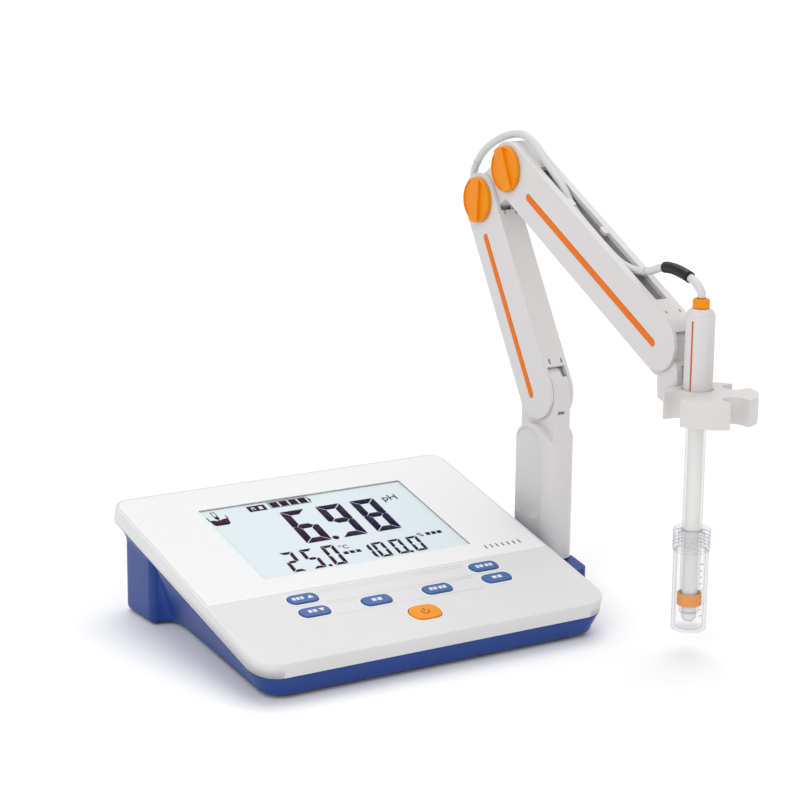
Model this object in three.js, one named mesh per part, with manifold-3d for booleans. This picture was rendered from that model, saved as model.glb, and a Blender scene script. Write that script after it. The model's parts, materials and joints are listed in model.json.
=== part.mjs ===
// Bench pH meter with a swivelling electrode arm. Millimetres, +Z up, +X right, +Y to the back.
import * as THREE from 'three';
import { mergeVertices } from 'three/addons/utils/BufferGeometryUtils.js';
import Module from 'manifold-3d';

const wasm = await Module();
wasm.setup();

const PI = Math.PI;
const GAP = 0.3; // air left between neighbouring pieces

// Origin: below the middle of the whole instrument, on the table.
const ORIGIN_X = 26.17;
const ORIGIN_Y = -36.7;

// Meter housing
const WIDTH = 242;
const DEPTH = 200;
const REAR_HEIGHT = 70;
const TILT = THREE.MathUtils.degToRad(13.27);
const SLOPE = DEPTH / Math.cos(TILT);
const DECK_Z = REAR_HEIGHT - (SLOPE / 2) * Math.sin(TILT);
const FRONT_RADIUS = 16.5;
const REAR_RADIUS = 11;
const WALL = 2.2;
const COVER_SIDE = 9.3;
const COVER_SKIN = 3;
const HULL_BOTTOM = 2;
const HULL_SLANT = 0.43; // inward run of the hull's sides for each millimetre of drop
const HULL_FRONT_PULL = 0.987;
const HULL_REAR_PULL = 0.9;
const BLOCK = { halfWidth: 115, front: 54, rear: 97, bottom: 0.8, radius: 8 };

// Display
const PANEL_EDGE = 2; // width of the cover's rim round the glossy panel
const PANEL_FRONT = -32.4;
const PANEL_THICK = 0.9;
const RECESS = PANEL_THICK + GAP;
const DISPLAY_S = 30; // middle of the display, up the slope from the deck's middle
const WINDOW = [146, 89];
const OPENING = [142, 85];

// Keys: half length and half width, and where each one sits on the deck
const KEY_SIZE = [9.9, 4.8];
const POWER_SIZE = [10.3, 7.4];
const KEY_PROUD = 1.3;
const KEY_FLANGE = 1.1;
const FLANGE_TOP = -COVER_SKIN - GAP;
const KEYS = [
  ['key_upper_left', -62.2, -43.0],
  ['key_lower_left', -62.5, -58.3],
  ['key_middle_left', -20.5, -58.3],
  ['key_middle_right', 22.1, -58.1],
  ['key_upper_right', 64.8, -43.5],
  ['key_lower_right', 65.2, -57.9],
];
const POWER_KEY = ['key_power', 0.4, -79.4];

// Boards under the deck, as [lowest, highest] distance from the deck's face
const LCD_LAYER = [-2.6, -RECESS];
const BACKLIGHT_LAYER = [-6.5, -COVER_SKIN - GAP];
const MAT_LAYER = [-6.4, -5.6];
const DOME_TOP = -4.7;
const KEY_BOARD_LAYER = [-8, -6.7];
const MAIN_BOARD_LAYER = [-10, -8.4];

// Feet, screws and rear sockets
const FOOT_RADIUS = 8;
const SCREW = { head: 3, shank: 1.5, bore: 1.8, headBore: 3.3 };
const SCREW_X = 95;
const SCREW_Y = 75;
const SEAT_SCREW = [100, 5];
const SOCKET_Z = 24;
const PH_SOCKET_X = 84;

// Arm
const ARM_X = 145; // the plane that the column, both arms and the electrode share
const COLUMN_Y = 8.6;
const SEAT = { left: 96, right: 157, front: -26, rear: 40, top: 20.5, frontTop: 17, ramp: -8 };
const TONGUE = { from: 92, front: -15, rear: 25, low: 6, high: 12 };
const COLUMN = { halfWidth: 11, radius: 20, arch: 88.5, middle: -0.3 };
const COLUMN_CORNERS = { frontRight: 7.5, rearRight: 6, rearLeft: 4, frontLeft: 10 };
// The column's side scoop: deepest along its front edge, running out towards the rear
const SCOOP = { middle: 2.9, radius: 14.7, low: 58, high: 90.5, depth: 3, ramp: 37 };
const NECK_SLOT = { left: -3.1, right: 2.3, low: 116.6, high: 118.6 };
const NECK = { halfWidth: 6.4, radius: 17.7, middle: 0.2 };
const BORE_RADIUS = 8.3;
const SPIGOT_TOP = 45;
const SHOULDER = [8.8, 129];
const LOWER_PIVOT = [77, 244.3];
const UPPER_PIVOT = [45, 268.1];
const WRIST = [-113.5, 184.1];
const ARM_HALF = 9; // half the thickness over both plates
const PLATE = 2.3;
const ARM_RADIUS = 17.6;
const WEB = 2.5;
const OPEN_END = 24; // how far from each pivot the arms' channels are open for the joint
const INNER = ARM_HALF - PLATE;
const LOWER_STRIPE = { offset: 4.7, from: 0, to: 109 };
const UPPER_STRIPE = { offset: -2.5, from: 28.4, to: 176.9 };
const STRIPE_RADIUS = 2.15;
const LIP = 3;
const WRIST_SKIN_END = 2; // the upper arm's top skin runs round its wrist end to here
const SLOT = { halfWidth: 4.2, from: 24, to: 162 };
const LOWER_WEB = { from: 10.2, to: -15.2 }; // from the shoulder, and back from the elbow
const SLIT = { width: 1.4, high: 3.5 }; // small slits at both ends of the lower arm's web
const SLIT_LEFT_EDGES = { low: [-4.4, 4.7], top: [-5, 3.6] };
const WRIST_HOLE = { left: [-5.4, 4.7], width: 1.4, low: 173, high: 175.2 };
const TABS = [[-1, 61.5], [1, 92]]; // side of the slot, and place along the upper arm
const ROD = { radius: 3.4, from: 3.2, to: 6.2, pinRadius: 2 };
const LOWER_ROD_OFFSET = [-8.8, 6.6];
const UPPER_ROD_OFFSET = [0, -11];
const PIN_RADIUS = 4;
const LINK_HALF = [-6.4, 2.8];
const KNOB = { radius: 14.75, proud: 3, dish: 0.9, barHalf: 4.5, barProud: 2 };
const LOWER_BAR_TILT = THREE.MathUtils.degToRad(3);
const UPPER_BAR_TILT = THREE.MathUtils.degToRad(-24);

// Wrist bracket: an ear on the wrist's axis over a post that carries the holder
const EAR = { radius: 13, rootRadius: 14.2 };
const POST = { halfWidth: 6.4, front: -131.3, shoulder: 15, bottom: 36.5, heel: 34 };
const POST_SLOT = { halfWidth: 2.5, low: 165, high: 172 };

// Holder and electrode
const HOLDER = { middle: [1, -154], radius: 27.5, low: 144.6, high: 160.6 };
const HOLDER_NOTCHES = [[-18.5, -150.5, 9], [0.5, -175, 6.7], [21, -149.5, 6.5]];
const ELECTRODE_Y = -143;
const HANDLE_RADIUS = 8.65;
const HANDLE_TOP = 208.5;
// Shallow thumb flat on the handle: an ellipsoid's half sizes, how deep it bites, and which way it faces
const THUMB_FLAT = { z: 181, across: 6, deep: 3, high: 17, sunk: 1.9, turn: THREE.MathUtils.degToRad(20) };
const COLLAR_TOP = 214.3;
const TUBE_RADIUS = 6;
const TUBE_BOTTOM = 24;
const VIAL = { top: 76.1, capBottom: 62.6, bottom: 13.6, capRadius: 11.25, radius: 10.5 };

// Lead
const LEAD_RADIUS = 2.5;
const LEAD_SIDES = 8;
const SLEEVE = { first: 3.1, last: 6.2, outer: 3.4, bore: 2.8 };

// ---- shapes -------------------------------------------------------------

function roundedPlate(halfWidth, front, rear, frontRadius, rearRadius) {
  const shape = new THREE.Shape();
  shape.moveTo(halfWidth, front + frontRadius);
  shape.absarc(halfWidth - rearRadius, rear - rearRadius, rearRadius, 0, PI / 2);
  shape.absarc(-halfWidth + rearRadius, rear - rearRadius, rearRadius, PI / 2, PI);
  shape.absarc(-halfWidth + frontRadius, front + frontRadius, frontRadius, PI, 1.5 * PI);
  shape.absarc(halfWidth - frontRadius, front + frontRadius, frontRadius, 1.5 * PI, 2 * PI);
  return shape;
}

function deckOutline(inset) {
  const half = SLOPE / 2 - inset;
  return roundedPlate(WIDTH / 2 - inset, -half, half, FRONT_RADIUS - inset, REAR_RADIUS - inset);
}

function disc(x, y, radius) {
  return new THREE.Shape().absarc(x, y, radius, 0, 2 * PI);
}

function capsule(from, to, radius) {
  const angle = Math.atan2(to[1] - from[1], to[0] - from[0]);
  const shape = new THREE.Shape();
  shape.absarc(to[0], to[1], radius, angle - PI / 2, angle + PI / 2);
  shape.absarc(from[0], from[1], radius, angle + PI / 2, angle + 1.5 * PI);
  return shape;
}

function polygon(points) {
  return new THREE.Shape(points.map(([x, y]) => new THREE.Vector2(x, y)));
}

// A pill whose ends come to a blunt point.
function keyOutline([halfLength, halfWidth], grow = 0) {
  const end = halfLength + grow;
  const side = halfWidth + grow;
  const straight = halfLength - halfWidth;
  const shoulder = end - 0.12 * side;
  const shape = new THREE.Shape();
  shape.moveTo(-straight, -side);
  shape.lineTo(straight, -side);
  shape.quadraticCurveTo(shoulder, -side, end, 0);
  shape.quadraticCurveTo(shoulder, side, straight, side);
  shape.lineTo(-straight, side);
  shape.quadraticCurveTo(-shoulder, side, -end, 0);
  shape.quadraticCurveTo(-shoulder, -side, -straight, -side);
  return shape;
}

// ---- solids -------------------------------------------------------------

const axis = (x, y, z) => new THREE.Vector3(x, y, z);
const ALONG_X = new THREE.Matrix4().makeBasis(axis(0, 1, 0), axis(0, 0, 1), axis(1, 0, 0));
const ALONG_Y = new THREE.Matrix4().makeBasis(axis(1, 0, 0), axis(0, 0, 1), axis(0, -1, 0));

function slab(shape, low, high, curveSegments = 6) {
  const options = { depth: high - low, bevelEnabled: false, curveSegments };
  return new THREE.ExtrudeGeometry(shape, options).translate(0, 0, low);
}

const slabX = (shape, left, right, segments) => slab(shape, left, right, segments).applyMatrix4(ALONG_X);
const slabY = (shape, front, rear, segments) => slab(shape, -rear, -front, segments).applyMatrix4(ALONG_Y);

function box(left, right, front, rear, low, high) {
  const geometry = new THREE.BoxGeometry(right - left, rear - front, high - low);
  return geometry.translate((left + right) / 2, (front + rear) / 2, (low + high) / 2);
}

function turned(profile, segments = 24) {
  const points = profile.map(([radius, z]) => new THREE.Vector2(radius, z));
  return new THREE.LatheGeometry(points, segments).rotateX(PI / 2);
}

function rod(radius, low, high, segments = 16) {
  return turned([[0, low], [radius, low], [radius, high], [0, high]], segments);
}

const rodX = (radius, left, right, y = 0, z = 0, segments = 16) =>
  rod(radius, left, right, segments).applyMatrix4(ALONG_X).translate(0, y, z);
const rodY = (radius, front, rear, x, z, segments) =>
  rod(radius, -rear, -front, segments).applyMatrix4(ALONG_Y).translate(x, 0, z);

function loft(lower, upper) {
  const count = lower.length;
  const middle = (loop) => loop.reduce((sum, p) => sum.add(p), axis(0, 0, 0)).divideScalar(count);
  const points = [...lower, ...upper, middle(lower), middle(upper)];
  const faces = [];
  for (let i = 0; i < count; i += 1) {
    const next = (i + 1) % count;
    faces.push(i, next, count + next);
    faces.push(i, count + next, count + i);
    faces.push(2 * count, next, i);
    faces.push(2 * count + 1, count + i, count + next);
  }
  const geometry = new THREE.BufferGeometry().setFromPoints(points);
  geometry.setIndex(faces);
  return geometry;
}

// ---- joining and cutting --------------------------------------------------

function toSolid(geometry) {
  const bare = geometry.clone();
  bare.deleteAttribute('normal');
  bare.deleteAttribute('uv');
  const merged = mergeVertices(bare, 1e-4);
  const corners = merged.index.array;
  const kept = [];
  for (let i = 0; i < corners.length; i += 3) {
    const [a, b, c] = [corners[i], corners[i + 1], corners[i + 2]];
    if (a !== b && b !== c && c !== a) kept.push(a, b, c);
  }
  const vertProperties = merged.attributes.position.array;
  return new wasm.Manifold(new wasm.Mesh({ numProp: 3, vertProperties, triVerts: new Uint32Array(kept) }));
}

function toGeometry(solid) {
  const { vertProperties, triVerts } = solid.getMesh();
  const geometry = new THREE.BufferGeometry();
  geometry.setAttribute('position', new THREE.BufferAttribute(vertProperties, 3));
  geometry.setIndex(new THREE.BufferAttribute(triVerts, 1));
  geometry.computeVertexNormals();
  return geometry;
}

const combine = (first, others, how) =>
  toGeometry(others.reduce((solid, other) => solid[how](toSolid(other)), toSolid(first)));
const cut = (first, ...tools) => combine(first, tools, 'subtract');
const join = (first, ...others) => combine(first, others, 'add');
const overlap = (first, ...others) => combine(first, others, 'intersect');

// ---- finishes -------------------------------------------------------------

const finish = (color, roughness, metalness = 0) =>
  new THREE.MeshStandardMaterial({ color, roughness, metalness });
const PALE = finish(0xd5d3d4, 0.5);
const WHITE = finish(0xf3f4f7, 0.2);
const ARM_GREY = finish(0xd7d5d4, 0.45);
const BLUE = finish(0x32509b, 0.45);
const KEY_BLUE = finish(0x466eaf, 0.4);
const POWER_ORANGE = finish(0xfaa028, 0.4);
const ORANGE = finish(0xff8214, 0.35);
const CLEAR = finish(0xe6effa, 0.05);
const LCD_GREY = finish(0xe6eff2, 0.3);
const BOARD_GREEN = finish(0x1f6b3a, 0.6);
const RUBBER = finish(0x303234, 0.9);
const STEEL = finish(0xb8bcc0, 0.3, 1);
const BLACK = finish(0x202022, 0.5);
const LEAD_GREY = finish(0xd2d2d2, 0.5);
const GLASS = finish(0xe8eef2, 0.05);

function part(name, geometry, material) {
  const mesh = new THREE.Mesh(toGeometry(toSolid(geometry)), material);
  mesh.name = name;
  return mesh;
}

// ---- meter, above the case -------------------------------------------------

function rectangle([width, height], grow = 0, radius = 2) {
  const halfHeight = height / 2 + grow;
  return roundedPlate(width / 2 + grow, DISPLAY_S - halfHeight, DISPLAY_S + halfHeight, radius, radius);
}

function panelOutline(grow) {
  const rear = SLOPE / 2 - PANEL_EDGE + grow;
  return roundedPlate(WIDTH / 2 - PANEL_EDGE + grow, PANEL_FRONT - grow, rear, 1, REAR_RADIUS - PANEL_EDGE);
}

function topCover() {
  const bosses = [-SCREW_X, SCREW_X].map((x) =>
    rod(4, 6.3, 62, 16).translate(x, SCREW_Y, -DECK_Z).rotateX(-TILT));
  const pilots = [-SCREW_X, SCREW_X].map((x) =>
    rod(SCREW.bore, 0, 22, 12).translate(x, SCREW_Y, -DECK_Z).rotateX(-TILT));
  const holes = KEYS.map(([, x, s]) => slab(keyOutline(KEY_SIZE, 0.5), -5, 1, 5).translate(x, s, 0));
  const powerHole = slab(keyOutline(POWER_SIZE, 0.5), -5, 1, 5).translate(POWER_KEY[1], POWER_KEY[2], 0);
  const shell = cut(
    slab(deckOutline(0), -COVER_SIDE, 0, 4),
    slab(deckOutline(WALL), -COVER_SIDE - 1, -COVER_SKIN, 4),
    slab(panelOutline(0), -RECESS, 1, 4),
    slab(rectangle(OPENING), -5, 1, 2),
    ...holes,
    powerHole,
  );
  return cut(join(shell, ...bosses), ...pilots);
}

function displayPanel() {
  return cut(slab(panelOutline(-GAP), -PANEL_THICK, 0, 4), slab(rectangle(WINDOW, GAP), -2, 1, 2));
}

function keyMat() {
  const sheet = slab(roundedPlate(90, -92, -33, 3, 3), ...MAT_LAYER, 2);
  const domes = [...KEYS, POWER_KEY].map(([, x, s]) => {
    const profile = [[0, MAT_LAYER[0] + 0.2], [3.4, MAT_LAYER[0] + 0.2], [2.4, DOME_TOP], [0, DOME_TOP]];
    return turned(profile, 12).translate(x, s, 0);
  });
  return join(sheet, ...domes);
}

function keyCap(size) {
  const flange = slab(keyOutline(size, 1.6), FLANGE_TOP - KEY_FLANGE, FLANGE_TOP, 4);
  const crown = slab(keyOutline(size), FLANGE_TOP - 0.5, KEY_PROUD - 0.6, 5);
  const face = slab(keyOutline(size, -0.5), KEY_PROUD - 0.7, KEY_PROUD, 5);
  return join(flange, crown, face);
}

function boardSheet(halfWidth, front, rear, [low, high]) {
  return slab(roundedPlate(halfWidth, front, rear, 2, 2), low, high, 2);
}

// ---- bottom case ------------------------------------------------------------

function rimLoop(inset, drop) {
  const outline = deckOutline(inset).getPoints(3);
  return outline.map(({ x, y: s }) => axis(
    x,
    s * Math.cos(TILT) + drop * Math.sin(TILT),
    DECK_Z + s * Math.sin(TILT) - drop * Math.cos(TILT),
  ));
}

function hullLoft(inset, bottom, drop) {
  const rim = rimLoop(inset, drop);
  const base = rimLoop(inset, COVER_SIDE + GAP).map(({ x, y, z }) => {
    const narrow = 1 - (HULL_SLANT * (z - bottom)) / (WIDTH / 2);
    const pull = y < 0 ? HULL_FRONT_PULL : HULL_REAR_PULL;
    return axis(x * narrow, y * pull, bottom);
  });
  return loft(base, rim);
}

const underRim = () => slab(polygon([[-200, -200], [200, -200], [200, 200], [-200, 200]]), -150, 0)
  .translate(0, 0, -COVER_SIDE - GAP)
  .rotateX(TILT)
  .translate(0, 0, DECK_Z);

function bottomCase() {
  const { halfWidth, front, rear, bottom, radius } = BLOCK;
  const blockPlan = (inset) =>
    roundedPlate(halfWidth - inset, front + inset, rear - inset, radius - inset, radius - inset);
  const blockOuter = overlap(slab(blockPlan(0), bottom, 90, 3), underRim());
  const blockInner = slab(blockPlan(WALL), bottom + WALL, 90, 3);
  const outer = join(hullLoft(0, HULL_BOTTOM, COVER_SIDE + GAP), blockOuter);
  const inner = join(hullLoft(WALL, HULL_BOTTOM + WALL, COVER_SIDE + GAP - 1), blockInner);
  const screwPlaces = [[-SCREW_X, SCREW_Y, bottom], [SCREW_X, SCREW_Y, bottom], [...SEAT_SCREW, HULL_BOTTOM]];
  const bosses = screwPlaces.map(([x, y, z]) => rod(5, z + 0.1, z + 3.2, 16).translate(x, y, 0));
  const bores = screwPlaces.map(([x, y, z]) => rod(SCREW.bore, z - 1, z + 8, 12).translate(x, y, 0));
  const heads = screwPlaces.map(([x, y, z]) => rod(SCREW.headBore, z - 1, z + 1.8, 12).translate(x, y, 0));
  const window = box(90, 125, TONGUE.front - GAP, TONGUE.rear + GAP, TONGUE.low - GAP, TONGUE.high + GAP);
  return cut(
    join(cut(outer, inner), ...bosses),
    ...bores,
    ...heads,
    window,
    rodY(4.8 + GAP, 90, 100, PH_SOCKET_X, SOCKET_Z, 16),
    rodY(4.2 + GAP, 90, 100, 58, SOCKET_Z, 16),
    rodY(4 + GAP, 90, 100, -84, SOCKET_Z, 16),
    box(-30.3, 0.3, 90, 100, SOCKET_Z - 6.6, SOCKET_Z + 6.6),
  );
}

function screw(x, y, low, top) {
  return join(rod(SCREW.head, low, low + 1.3, 14), rod(SCREW.shank, low + 1, top, 10)).translate(x, y, 0);
}

function foot(x, y, height) {
  return turned([[0, 0], [FOOT_RADIUS - 0.6, 0], [FOOT_RADIUS, 0.6], [FOOT_RADIUS, height], [0, height]], 20)
    .translate(x, y, 0);
}

// A panel socket: a barrel behind the rear wall, a flange on it and a nose outside.
function roundSocket(x, barrel, nose, noseLength) {
  const inside = rodY(barrel, 84, 97.2, x, SOCKET_Z, 16);
  const outside = rodY(nose, 97.1, 97.3 + noseLength, x, SOCKET_Z, 16);
  return join(inside, outside);
}

function phSocket() {
  const lugs = rodX(1, PH_SOCKET_X - 6, PH_SOCKET_X + 6, 104, SOCKET_Z, 8);
  return join(roundSocket(PH_SOCKET_X, 4.8, 4.8, 10), lugs);
}

function temperatureSocket() {
  return cut(roundSocket(58, 4.2, 4.2, 5), rodY(1.7, 94, 110, 58, SOCKET_Z, 12));
}

function powerSocket() {
  const ring = cut(roundSocket(-84, 4, 4, 1.5), rodY(2.9, 90, 110, -84, SOCKET_Z, 14));
  return join(ring, rodY(1, 89, 97, -84, SOCKET_Z, 10));
}

function dataPort() {
  const [low, high] = [SOCKET_Z - 4, SOCKET_Z + 4];
  const shell = polygon([[-23.5, high], [-22, low], [-8, low], [-6.5, high]]);
  return join(box(-30, 0, 88, 97, SOCKET_Z - 6.3, SOCKET_Z + 6.3), slabY(shell, 96, 102.5));
}

// ---- arm seat and column -------------------------------------------------------

function armSeat() {
  const { left, right, front, rear, top, frontTop, ramp } = SEAT;
  const low = HULL_BOTTOM;
  const side = polygon([[front, low], [rear, low], [rear, top], [ramp, top], [front, frontTop]]);
  const plan = roundedPlate((right - left) / 2, front, rear, 5, 5);
  const block = overlap(slabX(side, left, right), slab(plan, 0, 40, 3).translate((left + right) / 2, 0, 0));
  const body = cut(block, hullLoft(-0.4, HULL_BOTTOM - 0.5, COVER_SIDE + GAP));
  const tongue = box(TONGUE.from, 112, TONGUE.front, TONGUE.rear, TONGUE.low, TONGUE.high);
  const spigot = rod(BORE_RADIUS - GAP, top - 1, SPIGOT_TOP, 24).translate(ARM_X, COLUMN_Y, 0);
  const screwHole = rod(SCREW.bore, 0, 11, 12).translate(...SEAT_SCREW, 0);
  return cut(join(body, tongue, spigot), screwHole);
}

function columnPlan() {
  const { halfWidth, radius } = COLUMN;
  const { frontRight, rearRight, rearLeft, frontLeft } = COLUMN_CORNERS;
  const reach = radius + 0.01;
  const shape = new THREE.Shape();
  shape.absarc(halfWidth - frontRight, -reach + frontRight, frontRight, -PI / 2, 0);
  shape.absarc(halfWidth - rearRight, reach - rearRight, rearRight, 0, PI / 2);
  shape.absarc(-halfWidth + rearLeft, reach - rearLeft, rearLeft, PI / 2, PI);
  shape.absarc(-halfWidth + frontLeft, -reach + frontLeft, frontLeft, PI, 1.5 * PI);
  return shape;
}

function sideScoop() {
  const { middle, radius, low, high, depth, ramp } = SCOOP;
  const floor = -COLUMN.halfWidth + depth;
  const blank = slabX(capsule([middle, low], [middle, high], radius), floor - depth - 1, floor, 10);
  const lowerRamp = polygon([[floor, low], [floor - 5, ramp], [floor + 1, ramp - 8], [floor + 1, low]]);
  const [front, rear] = [middle - radius, middle + radius];
  const above = floor + 1;
  const slope = polygon([[floor, front], [above, front - 1], [above, rear + 1], [floor - depth, rear + 1]]);
  return cut(blank, slabY(lowerRamp, -30, 30), slab(slope, 0, high + radius + 1));
}

function columnPost() {
  const { halfWidth, radius, arch, middle } = COLUMN;
  const bottom = SEAT.top + GAP;
  const profile = capsule([middle, bottom - 40], [middle, arch], radius);
  const body = overlap(
    slabX(profile, -halfWidth, halfWidth, 10),
    slab(columnPlan(), bottom, arch + radius + 1, 5).translate(0, middle, 0),
  );
  const [shoulderY, shoulderZ] = [SHOULDER[0] - COLUMN_Y, SHOULDER[1]];
  const neckShape = capsule([shoulderY, arch], [shoulderY, shoulderZ], NECK.radius);
  const neck = slabX(neckShape, -NECK.halfWidth, NECK.halfWidth, 10);
  const reliefForRods = box(LINK_HALF[1], NECK.halfWidth + 2, -13.4, 30, shoulderZ + 2.5, 160);
  const groove = slabX(leadGroove(shoulderY, shoulderZ), -2.9, 2.9, 8);
  const [rodY0, rodZ0] = [shoulderY + LOWER_ROD_OFFSET[0], shoulderZ + LOWER_ROD_OFFSET[1]];
  const shell = cut(
    join(body, neck),
    sideScoop(),
    reliefForRods,
    groove,
    rod(BORE_RADIUS, 0, SPIGOT_TOP + 1, 24),
    rodX(PIN_RADIUS + GAP, -9, 9, shoulderY, shoulderZ),
    box(NECK_SLOT.left, NECK_SLOT.right, -20, -14.5, NECK_SLOT.low, NECK_SLOT.high),
  );
  return join(shell, rodX(ROD.pinRadius, LINK_HALF[1] - 1, ROD.to - 0.2, rodY0, rodZ0, 12));
}

// The lead's groove runs over the top of the shoulder and down the back of the column.
function leadGroove(y, z) {
  const depth = 12.3;
  const reach = 24;
  const shape = new THREE.Shape();
  shape.moveTo(y + depth, SEAT.top - 5);
  shape.lineTo(y + reach, SEAT.top - 5);
  shape.absarc(y, z, reach, 0, 0.62 * PI);
  shape.absarc(y, z, depth, 0.62 * PI, 0, true);
  return shape;
}

// ---- arms, in a frame with +Z along the arm from its first pivot -------------------

function armBlank(length) {
  return slabX(capsule([0, 0], [0, length], ARM_RADIUS), -ARM_HALF, ARM_HALF, 9);
}

function pinBores(places) {
  return places.map(([z, half]) => rodX(PIN_RADIUS + GAP, -half, half, 0, z));
}

function stripeShape({ offset, from, to }, grow) {
  return capsule([offset, from], [offset, to], STRIPE_RADIUS + grow);
}

const stripeGroove = (stripe) => slabX(stripeShape(stripe, GAP), -ARM_HALF - 1, -ARM_HALF + 1, 5);
const stripeInlay = (stripe) => slabX(stripeShape(stripe, 0), -ARM_HALF - 0.15, -ARM_HALF + 0.7, 5);

function lowerArm(length) {
  const channel = box(-INNER, INNER, -ARM_RADIUS + WEB, 30, -30, length + 30);
  const webTop = length + LOWER_WEB.to;
  const slit = (left, low) => box(left, left + SLIT.width, -20, -10, low, low + SLIT.high);
  const lowSlits = SLIT_LEFT_EDGES.low.map((left) => slit(left, LOWER_WEB.from + 1.8));
  const topSlits = SLIT_LEFT_EDGES.top.map((left) => slit(left, webTop - SLIT.high + 0.1));
  const shell = cut(
    armBlank(length),
    channel,
    box(-INNER, INNER, -30, 30, -30, LOWER_WEB.from),
    box(-INNER, INNER, -30, 30, webTop, length + 30),
    ...pinBores([[0, ARM_HALF - 0.9], [length, ARM_HALF + 1]]),
    stripeGroove(LOWER_STRIPE),
    ...lowSlits,
    ...topSlits,
  );
  const keeper = box(-INNER - 1, INNER + 1, ARM_RADIUS - 4.6, ARM_RADIUS - 2.2, -3, 3);
  const keepers = [44, 80].map((z) => keeper.clone().translate(0, 0, z));
  return join(shell, ...keepers);
}

function upperArm(length) {
  const channel = box(-INNER, INNER, -ARM_RADIUS + WEB, ARM_RADIUS - LIP, -30, length + 30);
  const mouth = slab(roundedPlate(SLOT.halfWidth, 0, 10, 1, 1), SLOT.from, SLOT.to, 2).translate(0, 10, 0);
  const holes = WRIST_HOLE.left.map((left) =>
    box(left, left + WRIST_HOLE.width, ARM_RADIUS - 6, 30, WRIST_HOLE.low, WRIST_HOLE.high));
  const shell = cut(
    armBlank(length),
    channel,
    mouth,
    box(-INNER, INNER, -30, ARM_RADIUS - LIP, -30, OPEN_END),
    box(-INNER, INNER, -30, ARM_RADIUS - LIP, length - OPEN_END, length),
    box(-INNER, INNER, -30, WRIST_SKIN_END, length, length + 30),
    rodX(ARM_RADIUS - LIP, -INNER, INNER, 0, length, 40),
    ...holes,
    ...pinBores([[0, ARM_HALF + 1], [length, ARM_HALF - 0.9]]),
    stripeGroove(UPPER_STRIPE),
  );
  const tabs = TABS.map(([side, z]) => {
    const tab = roundedPlate(4, -3.5, 3.5, 2, 2);
    const thick = slab(tab, -1, 1, 3).rotateX(PI / 2);
    return thick.translate(side * (SLOT.halfWidth + 0.8), ARM_RADIUS - 1.2, z);
  });
  return join(shell, ...tabs);
}

function parallelRod(length) {
  const bar = slabX(capsule([0, 0], [0, length], ROD.radius), ROD.from, ROD.to, 4);
  const holes = [0, length].map((z) => rodX(ROD.pinRadius + GAP, 0, 9, 0, z, 12));
  return cut(bar, ...holes);
}

function elbowLink() {
  const [y, z] = [UPPER_PIVOT[0] - LOWER_PIVOT[0], UPPER_PIVOT[1] - LOWER_PIVOT[1]];
  const block = slabX(capsule([0, 0], [y, z], 13), ...LINK_HALF, 8);
  const bores = [[0, 0], [y, z]].map(([dy, dz]) => rodX(PIN_RADIUS + GAP, -9, 9, dy, dz));
  const bosses = [LOWER_ROD_OFFSET, [y + UPPER_ROD_OFFSET[0], z + UPPER_ROD_OFFSET[1]]].map(([dy, dz]) =>
    rodX(ROD.pinRadius, LINK_HALF[1] - 1, ROD.to - 0.2, dy, dz, 12));
  return join(cut(block, ...bores), ...bosses);
}

// An orange clamp knob with a grip bar across it and the clamp bolt moulded in.
function clampKnob(barAngle) {
  const face = -ARM_HALF - GAP;
  const { radius, proud, dish, barHalf, barProud } = KNOB;
  const front = face - proud;
  const profile = [[0, front], [radius - 0.8, front], [radius, front + 0.8], [radius, face], [0, face]];
  const dial = turned(profile, 36).applyMatrix4(ALONG_X);
  const hollow = rodX(radius - 1.2, front - 1, front + dish, 0, 0, 36);
  const bar = box(front + dish - barProud, front + 2, -barHalf, barHalf, -radius, radius);
  const trimmedBar = overlap(bar.rotateX(barAngle), rodX(radius - 0.2, -30, 0, 0, 0, 36));
  const bolt = rodX(PIN_RADIUS, face - 1, ARM_HALF + 3, 0, 0);
  return join(cut(dial, hollow), trimmedBar, bolt);
}

function clampNut() {
  const cap = rodX(9, ARM_HALF + GAP, ARM_HALF + GAP + 4.4, 0, 0, 24);
  return cut(cap, rodX(PIN_RADIUS + GAP, 0, ARM_HALF + 3.4, 0, 0));
}

// ---- wrist, holder and electrode ---------------------------------------------------

function wristBracket() {
  const [y, z] = WRIST;
  const { halfWidth, front, shoulder, bottom, heel } = POST;
  const [earLeft, earRight] = LINK_HALF.map((edge) => ARM_X + edge);
  const ear = slabX(capsule([y, z], [y, z - 8], EAR.radius), earLeft, earRight, 8);
  const root = rodX(EAR.rootRadius, earLeft, earRight, y, z, 36);
  const side = new THREE.Shape();
  side.moveTo(y, z - heel);
  side.lineTo(front + 7.3, z - bottom);
  side.lineTo(front, z - bottom);
  side.lineTo(front, z - shoulder);
  side.quadraticCurveTo(front + 1.3, z - 8, front + 9.3, z - 9);
  side.lineTo(y + 1, z - 22);
  const post = slabX(side, ARM_X - halfWidth, ARM_X + halfWidth, 5);
  const [slotLeft, slotRight] = [ARM_X - POST_SLOT.halfWidth, ARM_X + POST_SLOT.halfWidth];
  const slot = box(slotLeft, slotRight, front - 4, front + 2.8, POST_SLOT.low, POST_SLOT.high);
  const neckRelief = box(earRight, ARM_X + 9, y - 30, y + 30, z - 19, z + 20);
  const boss = rodX(ROD.pinRadius, earRight - 1, ARM_X + ROD.to - 0.2,
    y + UPPER_ROD_OFFSET[0], z + UPPER_ROD_OFFSET[1], 12);
  const bore = rodX(PIN_RADIUS + GAP, ARM_X - 9, ARM_X + 9, y, z);
  return join(cut(join(ear, root, post), slot, neckRelief, bore), boss);
}

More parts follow.
